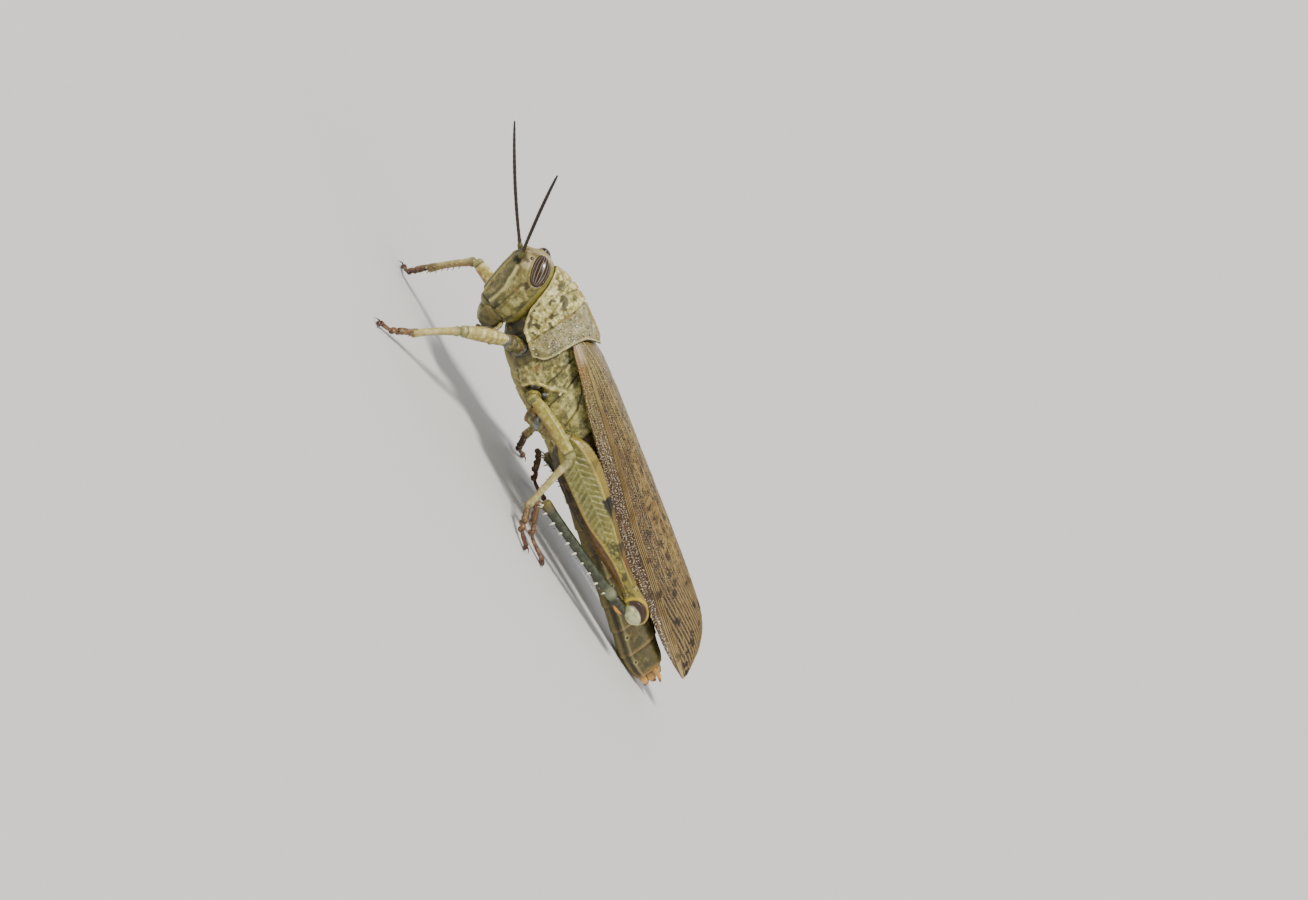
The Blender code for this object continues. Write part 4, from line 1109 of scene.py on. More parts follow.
def wingPlace(x, part, side, lift=0.0):
    crest, halfWidth, low = rowsAt(wingData["rows"], x)
    angle = part * math.pi / 2
    past = wingData["overlap"][side]
    across = -past + (halfWidth + lift + past) * np.abs(np.sin(angle)) ** 0.95
    height = low + (crest + lift - low) * np.abs(np.cos(angle)) ** 0.8
    return np.column_stack([x, -across * side, height])


def tegmenMaterial():
    # Leathery wing: rows of small cells between fine pale veins, on the wing's own map in millimetres.
    kit = nodeKit("wingLeather")
    vein, share, blot, gaps = (kit.read(name) for name in ("vein", "netShare", "blot", "gaps"))
    color, net, flat = kit.read("tint", "Color"), kit.read("netTint", "Color"), kit.read("flat", "Vector")
    # the rows wander, so that no two cells are alike
    sway = kit.noise(flat, 1 / 0.7)["Color"]
    swayed = kit.add("VectorMath", {0: sway, 1: (0.8, 0.62, 0), 2: flat}, operation="MULTIPLY_ADD")["Vector"]
    rows = kit.add("TexBrick", {
        "Vector": swayed, "Scale": 1.0, "Brick Width": 0.36, "Row Height": 0.3, "Mortar Size": 0.042,
        "Mortar Smooth": 0.8, "Color1": (0, 0, 0, 1), "Color2": (1, 1, 1, 1)}, offset=0.42, squash=1.0)
    patches = kit.spread(kit.noise(flat, 1 / 0.8, 4.0)["Fac"], 0.35, 0.6, 0.6, 1.0)
    glint = kit.spread(kit.noise(flat, 1 / 0.22)["Fac"], 0.42, 0.58, 0.15, 1.3)
    line = kit.number("MULTIPLY", rows["Fac"], kit.number("POWER", glint, gaps))
    line = kit.number("MULTIPLY", kit.number("MULTIPLY", line, patches), share)
    dark = kit.spread(kit.number("SUBTRACT", blot, rows["Color"]), -0.04, 0.12)
    dark = kit.number("MULTIPLY", dark, kit.number("SUBTRACT", 1.0, kit.number("MULTIPLY", rows["Fac"], 0.5)))
    base = kit.mixed(kit.number("MULTIPLY", dark, 0.92), color, shade("2f1d10"))
    raisedPart = kit.number("MAXIMUM", line, vein)
    return kit.done({
        "Base Color": kit.mixed(vein, kit.mixed(line, base, net), net),
        "Roughness": kit.spread(raisedPart, 0.0, 1.0, 0.5, 0.3), "Normal": kit.raised(raisedPart, 0.7, 0.00005),
        "Coat Weight": 0.1, "Coat Roughness": 0.3})


def tegmen(side):
    word = sideName[side]
    piece, u, t = newGrid("tegmen" + word.title(), 125, 365)
    rows = wingData["rows"]
    dense = 2 * math.pi * wingData["dense"]
    # closer rows along the fine veins
    part = u - 0.5 * (np.sin(2 * math.pi * u - dense) + math.sin(dense)) / (2 * math.pi)
    first, last = rows[0][0], rows[-1][0]
    x = first + (last - first) * t
    fromBase = x - first

    def at(x, part):
        return wingPlace(np.clip(x, first, last), part, side, 0.0 if side == 1 else -0.1)
    place = at(x, part)
    step = at(x, np.clip(part + 0.01, 0, 1)) - at(x, np.clip(part - 0.01, 0, 1))
    n = unit(np.cross(at(x + 0.2, part) - at(x - 0.2, part), step))
    n *= np.sign((n * (place * (0, 1, 1) - (0, 0, 8))).sum(1).mean())
    crest, halfWidth, low = rowsAt(rows, x)
    arc = np.hypot(halfWidth, crest - low) * 1.1
    offBundle = (part - rowsAt(wingData["bundle"], t)[0]) * arc
    flatMap = np.column_stack([x + (0 if side == 1 else 77), offBundle, part * 0])
    noise, broad = cloud(flatMap, 0.6, 111, 3), cloud(flatMap * (0.5, 1, 1), 1.3, 112, 2)
    fine = cloud(flatMap, 0.25, 113, 2)
    vein, move = np.zeros(len(place)), np.zeros(len(place))
    for line, height, strength in wingData["veins"]:
        off = (part - rowsAt(line, t)[0]) * arc + 0.06 * (cloud(flatMap, 1.4, 115, 1) - 0.5)
        strong = strength > 0.85
        fade = 1.0 if strong else ease(0.3, 0.6, cloud(flatMap, 2.5, 116, 2)) * 0.7 + 0.3
        vein = np.maximum(vein, bump(off, 0, 0.045 if strong else 0.065) * strength * fade)
        move += height * bump(off, 0, 0.065 if strong else 0.1) * (0.5 + 0.5 * fade)
    # near the tip, close parallel veins run out to the edge
    comb = ease(0.6, 0.85, t) * ease(0.9, 0.8, part) * ease(0.02, 0.08, part)
    waves = (0.5 + 0.5 * np.cos(2 * math.pi * (offBundle + 0.13 * (x + 8)) / 0.42)) ** 3
    vein = np.maximum(vein, comb * waves * 0.85)
    move += comb * waves * 0.05 + 0.12 * (broad - 0.5)
    margin = (1 - part) * arc
    move += 0.09 * bump(margin, 0.12, 0.13)
    setPoints(piece, place + n * move[:, None])
    flat = piece.data.attributes.new("flat", "FLOAT_VECTOR", "POINT")
    flat.data.foreach_set("vector", flatMap.astype(np.float32).ravel())
    mark(piece, vein * 0.9, "vein")
    strips = ease(-0.36, -0.28, offBundle) * ease(0.36, 0.28, offBundle)
    costal = ease(0.32, 0.5, offBundle)
    ladder = ease(-2.6, -1.9, offBundle) * ease(-0.32, -0.5, offBundle)
    mark(piece, 1 + 3 * costal * ease(0.12, 0.4, t), "gaps")
    atBase = ease(0.16, 0.02, t)
    mark(piece, (1 - strips) * (0.7 + 0.25 * costal + 0.35 * ladder + 0.35 * ease(0.4, 0.1, t)) * (1 - 0.5 * comb),
         "netShare")
    color = layered("7f693a",
        ("b0975b", ease(0.42, 0.6, noise) * 0.6),
        ("5f4a25", ease(0.5, 0.62, cloud(flatMap * (0.6, 1, 1), 0.8, 114, 3)) * 0.55 * (1 - costal)),
        ("6b6535", ease(0.5, 0.15, t) * ease(0.4, 0.6, broad) * 0.6),
        ("58401c", ladder * 0.75),
        ("604520", costal * 0.96),
        ("7f6030", costal * ease(0.48, 0.64, noise) * 0.6),
        ("7d6e3e", costal * ease(0.4, 0.15, t) * 0.8),
        ("5c4626", strips * 0.9),
        ("44300f", comb * 0.8),
        ("6d4a22", ease(0.55, 0.7, fine) * 0.3))
    netColor = layered("cab482",
        ("f2ead0", costal * ease(0.05, 0.35, t) * 0.95),
        ("cdc288", ease(0.4, 0.05, t) * 0.7),
        ("96794a", ease(0.5, 0.7, broad) * 0.6 * (1 - costal)),
        ("bea672", comb * 0.7))
    # brown spots, small and crowded along the middle, larger towards the tip
    seedDistance, owner = cells(flatMap * (0.62, 1, 1), 1.2, 118)
    chosen = owner < 0.16 + 0.65 * ease(0.45, 0.85, t)
    spot = ease(0.42, 0.22, seedDistance + (fine - 0.5) * 0.5) * chosen * ease(0.03, 0.25, t)
    crowd = ease(0.47, 0.62, cloud(flatMap * (0.8, 1, 1), 0.5, 119, 3)) * ease(0.01, 0.1, t)
    blot = np.maximum(spot * 1.1, crowd * (0.68 - 0.3 * ease(0.6, 0.9, t))) * (1 - 0.85 * costal) * (1 - strips)
    mark(piece, np.clip(blot + 0.1 * ladder, 0, 1.2), "blot")
    netColor = layered(netColor, ("3f2a18", np.clip(spot * 1.1, 0, 1) * (0.7 + 0.25 * comb)))
    color = layered(color,
        ("6e5226", bump(margin, 0.05, 0.12) * 0.6),
        ("a58c56", ease(0.1, 0.03, part) * 0.6),
        ("9c8450", atBase * 0.35),                    # leathery lobes at the foot of the wing
        ("8c6632", atBase * bump(part, 0.83, 0.12) * 0.5),
        ("d9c6b4", ease(3.6, 1.6, fromBase) * bump(part, 0.84, 0.13) * 0.85),
        ("9a6c38", ease(7.5, 3.5, fromBase) * bump(part, 0.93, 0.05) * 0.7),
        ("46381c", ease(5.0, 2.5, fromBase) * bump(part, 0.6, 0.035) * 0.75))
    tint(piece, color)
    tint(piece, netColor, "netTint")
    wall = piece.modifiers.new("wall", "SOLIDIFY")
    wall.thickness = wingData["thick"]
    pick(piece)
    up = outward(piece)
    wall.offset = -1.0 if (up * n).sum() > 0 else 1.0
    applyAll(piece)
    closeUp(piece, 1e-5)
    finished(piece, wingFinish, "wing", "tegmen_" + word)


wingFinish = tegmenMaterial()
for side in sideName:
    tegmen(side)


def hindWingMaterial():
    # Folded hind wing: thin smoky skin with fine pleats.
    kit = nodeKit("hindWingSkin")
    squeezed = kit.add("Mapping", {"Vector": kit.add("TexCoord")["Object"], "Scale": (60, 900, 3200)})["Vector"]
    tone = kit.mixed(kit.noise(squeezed, 1.0)["Fac"], shade("6b5f45"), shade("a79b78"))
    return kit.done({"Base Color": tone, "Roughness": 0.38, "Coat Weight": 0.2})


hindWing = hindWingMaterial()
for word in ("left", "right"):
    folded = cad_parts["hindwing_" + word]
    folded.data.materials.clear()
    folded.data.materials.append(hindWing)
print("wings made")


# Legs.
hindPoints = [(-42.3, -5.5, 9.8), (-39.8, -6.6, 11.4), (-12.6, -8.2, 7.1), (-33.9, -9.4, 4.7), (-27.2, -11.6, 0.5)]
slimShin = [(0.0, 0.45, 0.45, 0.45), (0.07, 0.58, 0.62, 0.6), (0.16, 0.54, 0.6, 0.56), (0.3, 0.46, 0.48, 0.48),
            (0.75, 0.45, 0.46, 0.46), (0.94, 0.58, 0.58, 0.56), (1.0, 0.5, 0.5, 0.5)]
slimThorns = (6, 0.55, 0.24, 0.35, 0.93, 0.28, 0.11, 0.11)
legData = {
    # body side of the coxa, hip, knee, ankle and end of the foot, for each left leg
    "left": {
        "fore": [(-53.3, -3.8, 12.1), (-54.9, -5.3, 11.7), (-60.7, -10.0, 7.9), (-64.6, -12.4, 2.4),
                 (-69.0, -16.4, 0.5)],
        "mid": [(-46.1, -5.0, 10.3), (-46.9, -6.5, 10.6), (-37.6, -10.4, 11.3), (-35.0, -11.8, 2.6),
                (-31.4, -15.4, 0.5)],
        "hind": hindPoints},
    # the same for each right leg, before it is turned over to the right
    "right": {
        "fore": [(-53.3, -3.8, 12.1), (-55.0, -5.3, 12.0), (-62.8, -9.3, 11.0), (-64.4, -12.9, 4.0),
                 (-65.4, -16.5, 0.5)],
        "mid": [(-46.1, -5.0, 10.3), (-46.9, -6.5, 10.6), (-38.6, -10.9, 11.3), (-36.6, -12.3, 2.6),
                (-33.2, -15.8, 0.5)],
        "hind": hindPoints},
    "kneeDrop": (0.5, 0.0, 1.45), "heel": (0.9, 0.0, 0.9),
    "coxa": {                              # radius, and the colors of the base, the mottle and the ring
        # the fore coxa's base is laid on dark olive as painted shade under the shield
        "fore": (1.05, "6f6a3e", "a9a274", "6d747b"), "mid": (1.0, "8e8744", "bdb468", "8a8450"),
        "hind": (1.3, "8d8450", "b9af74", "77756a")},
    "stout": [(0, 1, 1, 1), (0.45, 1.12, 1.1, 1.1), (0.8, 1.02, 1.02, 1.0), (1.0, 0.8, 0.8, 0.8)],
    "ring": [(0, 0.8, 0.8, 0.8), (0.45, 0.86, 0.86, 0.86), (0.62, 0.72, 0.72, 0.72), (0.8, 0.76, 0.78, 0.76),
             (1, 0.62, 0.62, 0.62)],
    # part of the length, half width, above, below
    "femur": {
        "fore": [(-0.02, 0.5, 0.5, 0.5), (0.06, 0.66, 0.74, 0.66), (0.25, 0.88, 0.95, 0.86), (0.6, 0.92, 1.0, 0.95),
                 (0.85, 0.8, 0.88, 0.84), (0.93, 0.78, 0.84, 0.78), (1.0, 0.7, 0.75, 0.62), (1.03, 0.5, 0.6, 0.4)],
        "mid": [(0.0, 0.5, 0.55, 0.5), (0.1, 0.66, 0.76, 0.66), (0.25, 0.82, 0.95, 0.85), (0.6, 0.86, 1.0, 0.9),
                (0.86, 0.76, 0.88, 0.84), (0.93, 0.76, 0.84, 0.78), (1.0, 0.68, 0.72, 0.62), (1.03, 0.5, 0.6, 0.4)],
        "hind": [(-0.005, 0.5, 0.7, 0.8), (0.015, 0.8, 1.15, 1.25), (0.055, 1.15, 2.05, 2.2), (0.14, 1.4, 2.75, 2.8),
                 (0.26, 1.45, 2.85, 2.95), (0.42, 1.3, 2.3, 2.7), (0.58, 1.05, 1.65, 2.15), (0.72, 0.85, 1.25, 1.4),
                 (0.83, 0.8, 1.15, 0.98), (0.9, 1.0, 1.45, 1.15), (0.95, 1.15, 1.65, 1.5), (1.0, 1.15, 1.5, 1.8),
                 (1.055, 0.85, 0.9, 1.35)]},
    # part of the length, then the levels that frame the flat outer face of the hind thigh
    "face": [(0, 0.66, -0.6), (0.3, 0.75, -0.56), (0.48, 0.82, -0.54), (0.6, 0.76, -0.34), (0.72, 0.72, -0.22),
             (0.85, 0.7, -0.3), (1.05, 0.7, -0.4)],
    "tibia": {
        "fore": slimShin, "mid": slimShin,
        "hind": [(0.02, 0.6, 0.6, 0.75), (0.07, 0.7, 0.66, 0.8), (0.14, 0.8, 0.78, 0.85), (0.2, 0.72, 0.8, 0.76),
                 (0.3, 0.7, 0.82, 0.72), (0.6, 0.62, 0.73, 0.64), (0.88, 0.64, 0.74, 0.65), (0.97, 0.75, 0.85, 0.75),
                 (1.0, 0.6, 0.7, 0.6)]},
    # on the knee: part of the length, height, half length and half height
    "lobe": (0.988, -0.85, 1.6, 1.15), "crescent": (0.975, -0.25, 1.9, 1.75),
    "ribs": 0.97,                          # from rib to rib on the hind thigh
    # start, end and strength of the dark wedges on the hind thigh
    "darts": ((0.165, 0.235, 0.4), (0.37, 0.525, 0.97), (0.61, 0.72, 0.8)),
    # thorns to a row, their length, distance from the middle line, first and last place along the shin,
    # distance behind it, and radius of the thorns and of the spurs
    "thorns": {"fore": slimThorns, "mid": slimThorns, "hind": (9, 1.25, 0.36, 0.24, 0.93, 0.42, 0.21, 0.18)},
}


def legPoints(pair, side):
    return [np.array(k) * (1, side, 1) for k in legData[sideName[side]][pair]]


def legNames(part, pair, side):
    # Name of the visible piece, and of the CAD piece that it stands for.
    return part + pair.title() + sideName[side].title(), f"{pair}_{part}_{sideName[side]}"


def softEnd(piece):
    p = points(piece)
    p[:, 2] = np.maximum(p[:, 2], 0.0)
    setPoints(piece, p)


def coxa(pair, side):
    root, hip, knee, _, _ = legPoints(pair, side)
    radius, base, pale, ring = legData["coxa"][pair]
    inner = root - (hip - root) * 0.9 + np.array([0, 0.4 * side, 0.2])
    toKnee = unit(knee - hip)

    def change(part, angle, place):
        groove = 0.1 * bump(np.cos(angle + part * 2), 0.3, 0.14) * ease(0.3, 0.45, part)
        return 0.2 * (cloud(place, 0.6, 121, 3) - 0.5) - groove

    def mottled(part, angle, place, end=0.0):
        noise = cloud(place, 0.4, 122, 3)
        return layered(base,
            (pale, ease(0.46, 0.62, noise) * 0.75),
            ("3d3819", ease(0.52, 0.66, cloud(place, 0.6, 123, 3)) * 0.7),
            ("7c4a22", ease(0.56, 0.7, cloud(place, 0.9, 124, 2)) * 0.5),
            (ring, ease(0.35, 0.6, part) * 0.85 * end),
            # pale flecks near the end of the ring: painted highlights on the glossy joint
            ("c9c4a4", bump(part, 0.85, 0.1) * ease(0.4, 0.6, noise) * 0.7 * end))
    stout = limb("coxa", [inner, root, hip + toKnee * 0.25], scaled(radius, legData["stout"]), 64, 56, 2.1,
                 change=change, paint=mottled, ends=(0.5, 0.8))
    line = [hip - toKnee * radius * 0.3, hip + toKnee * radius * 1.15]
    ringPart = limb("coxa", line, scaled(radius, legData["ring"]), 56, 44, 2.1, ends=(0.6, 0.5),
                    change=lambda part, angle, place: 0.12 * (cloud(place, 0.5, 125, 3) - 0.5),
                    paint=lambda part, angle, place: mottled(part, angle, place, 1.0))
    name, node = legNames("coxa", pair, side)
    finished(joined(name, [stout, ringPart]), shellFinish, "buff", node)


skinData = {
    "rings": (("fore", 1.3), ("mid", 1.02), ("hind", 1.5)),
    "neck": [(0, 3.0, 4.2, 3.4), (0.5, 2.9, 4.2, 3.3), (1, 2.7, 4.0, 3.6)],
    "patches": (([(-48.1, -4.25, 10.9), (-47.4, -4.4, 11.45), (-46.6, -4.4, 11.75)], 0.5),
                ([(-45.75, -4.25, 11.2), (-45.45, -4.4, 11.8), (-45.2, -4.3, 12.3)], 0.55)),
}


def socketSkin():
    # Soft skin: folds round the foot of each leg, the bare patches over the middle legs, and the neck.
    def folds(part, angle, place):
        fold = 0.06 * np.sin(part * 14 + 0.8 * np.sin(angle * 3 + 1)) * ease(0.2, 0.4, part)
        return fold + 0.1 * (cloud(place, 0.6, 131, 2) - 0.5)
    rings = []
    for pair, size in skinData["rings"]:
        for side in sideName:
            root, hip, _, _, _ = legPoints(pair, side)
            way = unit(hip - root)
            start = root - way * 1.5 + np.array([0, 0.3 * side, 0])
            rings.append(limb("skin", [start, root - way * 0.5, root + way * 0.15],
                              even((0, size), (0.6, size * 0.98), (1, size * 0.7)), 60, 30, 2.0, change=folds))
    for side in sideName:
        for line, size in skinData["patches"]:
            rows = even((0, size * 0.6), (0.5, size), (1, size * 0.6))
            rings.append(limb("skin", sided(line, side), rows, 36, 24, 2.0, ends=(0.9, 0.9),
                              change=lambda part, angle, place: 0.02 * np.sin(place[:, 0] * 12)))

    def neckFolds(part, angle, place):
        return 0.1 * np.sin(part * 30) + 0.1 * (cloud(place, 0.8, 132, 2) - 0.5)
    neck = [headPlace(-1.6, 0, -0.6), headPlace(-3.2, 0, -0.9), (-55.0, 0, 14.6)]
    rings.append(limb("skin", neck, skinData["neck"], 80, 40, 2.1, change=neckFolds))
    made = joined("softSkin", rings)
    p = points(made)
    noise = cloud(p, 0.4, 133, 3)
    tint(made, layered("5f5d50",
        ("9a9ea4", ease(0.5, 0.66, noise) * 0.7),
        ("3a3325", ease(0.5, 0.7, cloud(p, 0.8, 134, 2)) * 0.8),
        # darker towards the neck and fore legs: painted shade under the head and shield
        ("2f2a18", ease(-52.5, -54.0, p[:, 0]) * 0.6)))
    finished(made, wetSkin, "buff")


def slimFemur(pair, side):
    _, hip, knee, _, _ = legPoints(pair, side)
    bow = (hip + knee) / 2 + np.array([0, 0, 0.22])

    def change(part, angle, place):
        move = 0.05 * (bump(np.cos(angle) * side, 0.75, 0.09) + bump(np.cos(angle) * side, -0.75, 0.09))
        move += 0.05 * bump(angle, math.pi / 2, 0.12)
        move -= 0.1 * bump(part, 0.925, 0.012) + 0.05 * bump(part, 0.04, 0.02)
        return move + 0.05 * (cloud(place, 0.4, 141, 3) - 0.5)

    def paint(part, angle, place):
        noise = cloud(place, 0.4, 142, 3)
        up = np.sin(angle)
        base, pale, low = ("b7a962", "e6daa6", "9a7038") if pair == "fore" else ("a79c50", "d0c883", "957438")
        bars = 0.5 + 0.5 * np.cos(part * 2 * math.pi * 9 - 1.6 * np.abs(np.cos(angle)))
        return layered(base,
            (pale, ease(0.45, 0.62, noise) * 0.6 + ease(0.3, 0.9, up) * 0.3),
            ("8a7838", bars ** 3 * 0.4 * ease(0.1, 0.2, part) * ease(0.9, 0.8, part)),
            (low, ease(-0.25, -0.75, up + (noise - 0.5) * 0.6) * 0.8),
            ("8f9168", ease(0.88, 0.94, part) * 0.6),
            ("54401f", bump(part, 0.925, 0.014) * 0.7),
            ("80806c", ease(0.09, 0.0, part) * 0.8))
    name, node = legNames("femur", pair, side)
    made = limb(name, [hip, bow, knee], legData["femur"][pair], 56, 150, 2.2, change=change, paint=paint)
    finished(made, legFinish, "pale", node)


def hindFemur(side):
    _, hip, knee, _, _ = legPoints("hind", side)
    length = np.linalg.norm(knee - hip)
    rows = legData["femur"]["hind"]

    def marks(part, angle):
        # level on the section, height over its middle, where the flat face begins and ends,
        # and distance from the lobe and the crescent of the knee
        halfWidth, above, below = rowsAt(rows, part)
        _, height = sectionPoint(angle, halfWidth, above, below, 2.5)
        up, down = rowsAt(legData["face"], part)
        lobe, crescent = (np.hypot((part - at) * length / long, (height - middle) / high)
                          for at, middle, long, high in (legData["lobe"], legData["crescent"]))
        return np.where(np.sin(angle) > 0, height / above, height / below), height, up, down, lobe, crescent

    def ribs(part, height, noise):
        centre = 0.25 - 0.5 * ease(0.4, 0.8, part)
        phase = (part * length - 0.8 * np.abs(height - centre) + (noise - 0.5) * 0.35) / legData["ribs"]
        rib = (0.5 + 0.5 * np.cos(2 * math.pi * phase)) ** 4
        fade = ease(0.07, 0.14, part) * ease(0.78, 0.6, part)
        return rib * fade * (0.4 + noise), bump(height, centre, 0.14) * fade

    def change(part, angle, place):
        level, height, up, down, lobe, crescent = marks(part, angle)
        face = ease(up + 0.02, up - 0.1, level) * ease(down - 0.02, down + 0.1, level)
        rib, spine = ribs(part, height, cloud(place, 0.8, 150, 2))
        move = -0.14 * face * ease(0.9, 0.8, part) + face * (0.1 * rib + 0.06 * spine)
        thigh = ease(0.03, 0.1, part) * ease(0.9, 0.84, part)
        move += thigh * (0.16 * bump(level, up, 0.05) + 0.18 * bump(level, down, 0.05))
        move += thigh * 0.24 * bump(level, 1.0, 0.03) * (1 + 0.25 * np.sin(part * length * 5.5) ** 8)
        move += thigh * 0.2 * bump(level, -1.0, 0.035)
        # knee: rounded lobe with a groove round it, under a crescent
        move += 0.16 * ease(1.05, 0.55, lobe) - 0.14 * bump(lobe, 1.2, 0.12)
        move -= 0.08 * bump(crescent, 0.88, 0.12) * (level > -0.6)
        move -= 0.12 * bump(part, 0.865 - 0.01 * level, 0.008) * ease(-0.9, -0.3, level)
        spots, owner = cells(place, 0.4, 151)
        move += 0.04 * ease(0.25, 0.1, spots) * (owner > 0.5) * thigh
        return move + 0.07 * (cloud(place, 0.4, 152, 3) - 0.5)

    def paint(part, angle, place):
        level, height, up, down, lobe, crescent = marks(part, angle)
        noise, broad, fine = cloud(place, 0.5, 153, 3), cloud(place, 1.4, 154, 2), cloud(place, 0.28, 156, 2)
        rib, spine = ribs(part, height, cloud(place, 0.8, 150, 2))
        toKnee = ease(0.4, 0.65, part)
        face = ease(up + 0.02, up - 0.08, level) * ease(down - 0.02, down + 0.08, level)
        green = layered("86803f",
            ("8f862f", toKnee * 0.9),
            ("5c5c2a", ease(0.5, 0.66, broad) * 0.6),
            ("aeab78", ease(0.5, 0.66, noise) * 0.4),
            ("bab680", rib * 0.6 * (1 - 0.55 * toKnee) + spine * 0.3))
        mottle = ease(0.5, 0.62, cloud(place * (0.6, 1, 1), 0.6, 155, 3))
        green = layered(green,
            ("45421a", mottle * (0.2 + 0.6 * toKnee)),
            ("c3b84f", ease(0.55, 0.66, fine) * toKnee * 0.4))
        upper = ease(up, up + 0.06, level)
        color = layered("8b7d40",
            (green, face),
            ("a8954c", upper * (0.5 + 0.4 * noise)),
            # darker brown towards the top of the upper flange: painted shade
            ("70531f", ease(0.84, 0.97, level) * ease(0.3, 0.45, part) * ease(0.88, 0.8, part) * (0.4 + 0.4 * noise)))
        wedge = np.zeros(len(part))                        # black darts along the flange, pointing to the knee
        for start, end, share in legData["darts"]:
            narrow = np.clip((part - start) / (end - start) + 0.12 * (fine - 0.5), 0, 1)
            dart = ease(start - 0.005, start + 0.008, part + 0.01 * (fine - 0.5)) * ease(end, end - 0.01, part)
            dart = dart * ease(up - 0.02 - 0.17 * (1 - narrow), up + 0.05 - 0.12 * (1 - narrow), level)
            top = (1.05 - up) * narrow ** 1.6
            dart = dart * ease(1.1 - top, 1.0 - top, level)
            wedge = np.maximum(wedge, dart * share)
        color = layered(color,
            ("0d0804", wedge),
            ("7b451d", bump(part, 0.73, 0.05) * upper * 0.7))
        lower = ease(down, down - 0.08, level)
        return layered(color,
            ("5f4920", lower * 0.85),
            ("33200f", lower * ease(0.75, 0.35, part) * ease(0.3, 0.55, noise) * 0.85),
            ("8f6f36", lower * ease(0.42, 0.62, part) * (0.3 + 0.5 * ease(0.46, 0.64, fine))),
            ("b8964e", bump(level, down, 0.045) * 0.7 * ease(0.25, 0.5, part) * ease(0.9, 0.86, part)
             * ease(0.3, 0.5, part + noise * 0.3)),
            ("d8c87c", bump(level, up, 0.05) * 0.7 * ease(0.9, 0.86, part) * (1 - wedge)),
            ("9c9044", ease(0.8, 0.87, part) * 0.7),
            ("544b1f", ease(0.8, 0.86, part) * mottle * 0.6),
            ("c8b040", bump(crescent, 1.08, 0.12) * 0.9),
            ("4c2415", ease(1.02, 0.92, crescent) * ease(0.86, 0.89, part)
             * ease(-0.9, -0.3, height + 1.0 * ease(1.0, 1.04, part)) * 0.95),
            ("d0d0a6", ease(1.1, 0.92, lobe) * 0.97),
            ("838a62", ease(1.1, 0.9, lobe) * ease(0.5, 0.66, noise) * 0.6))
    name, node = legNames("femur", "hind", side)
    made = limb(name, [hip, knee], rows, 190, 400, 2.5,
                change=change, paint=paint, ends=(0.5, 0.7))
    finished(made, legFinish, "pale", node)


def spineRow(pair, side, knee, ankle):
    # Two rows of thorns along the rear of a shin, and the spurs at its end.
    thorns = []
    along = unit(ankle - knee)
    across = unit(np.cross(along, (0, 0, 1)))
    down = np.cross(along, across)
    if pair == "hind":
        down = down if down[2] < 0 else -down
    else:
        inward = np.array([0, side, 0]) - along * (along @ np.array([0, side, 0]))
        down = unit(inward + np.array([0, 0, -0.4]))
        down = unit(down - along * (down @ along))
        across = np.cross(along, down)
    count, size, reach, first, last, stand, thick, spurThick = legData["thorns"][pair]
    for way in (1, -1):
        for i in range(count):
            t = first + (last - first) * i / (count - 1) + 0.006 * way
            foot = knee + (ankle - knee) * t + across * way * reach + down * stand
            lean = unit(down * 0.9 + across * 0.6 * way + along * 0.42)
            long = size * (0.85 + 0.15 * math.sin(i * 2.1 + way))
            thorns.append(cone("thorn", foot, foot + lean * long, thick, 0.03, 8, 0.05, down))
        foot = knee + (ankle - knee) * 0.975 + across * way * reach * 1.1
        for turn, long in ((0.5, 1.05), (1.25, 0.85)):
            lean = unit(down * turn + across * 0.5 * way + along * 1.1)
            root = foot + down * 0.2 * turn
            thorns.append(cone("thorn", root, root + lean * size * long, spurThick, 0.025, 8, -0.06, down))
    made = joined("thorns", thorns)
    layer = np.zeros(len(made.data.vertices), np.float32)
    made.data.attributes["part"].data.foreach_get("value", layer)
    tint(made, layered("f4efdc" if pair == "hind" else "c9bb86",
        ("8d8a6a", ease(0.2, 0.0, layer) * 0.6),
        ("1d140e", ease(0.6, 0.8, layer))))
    return made


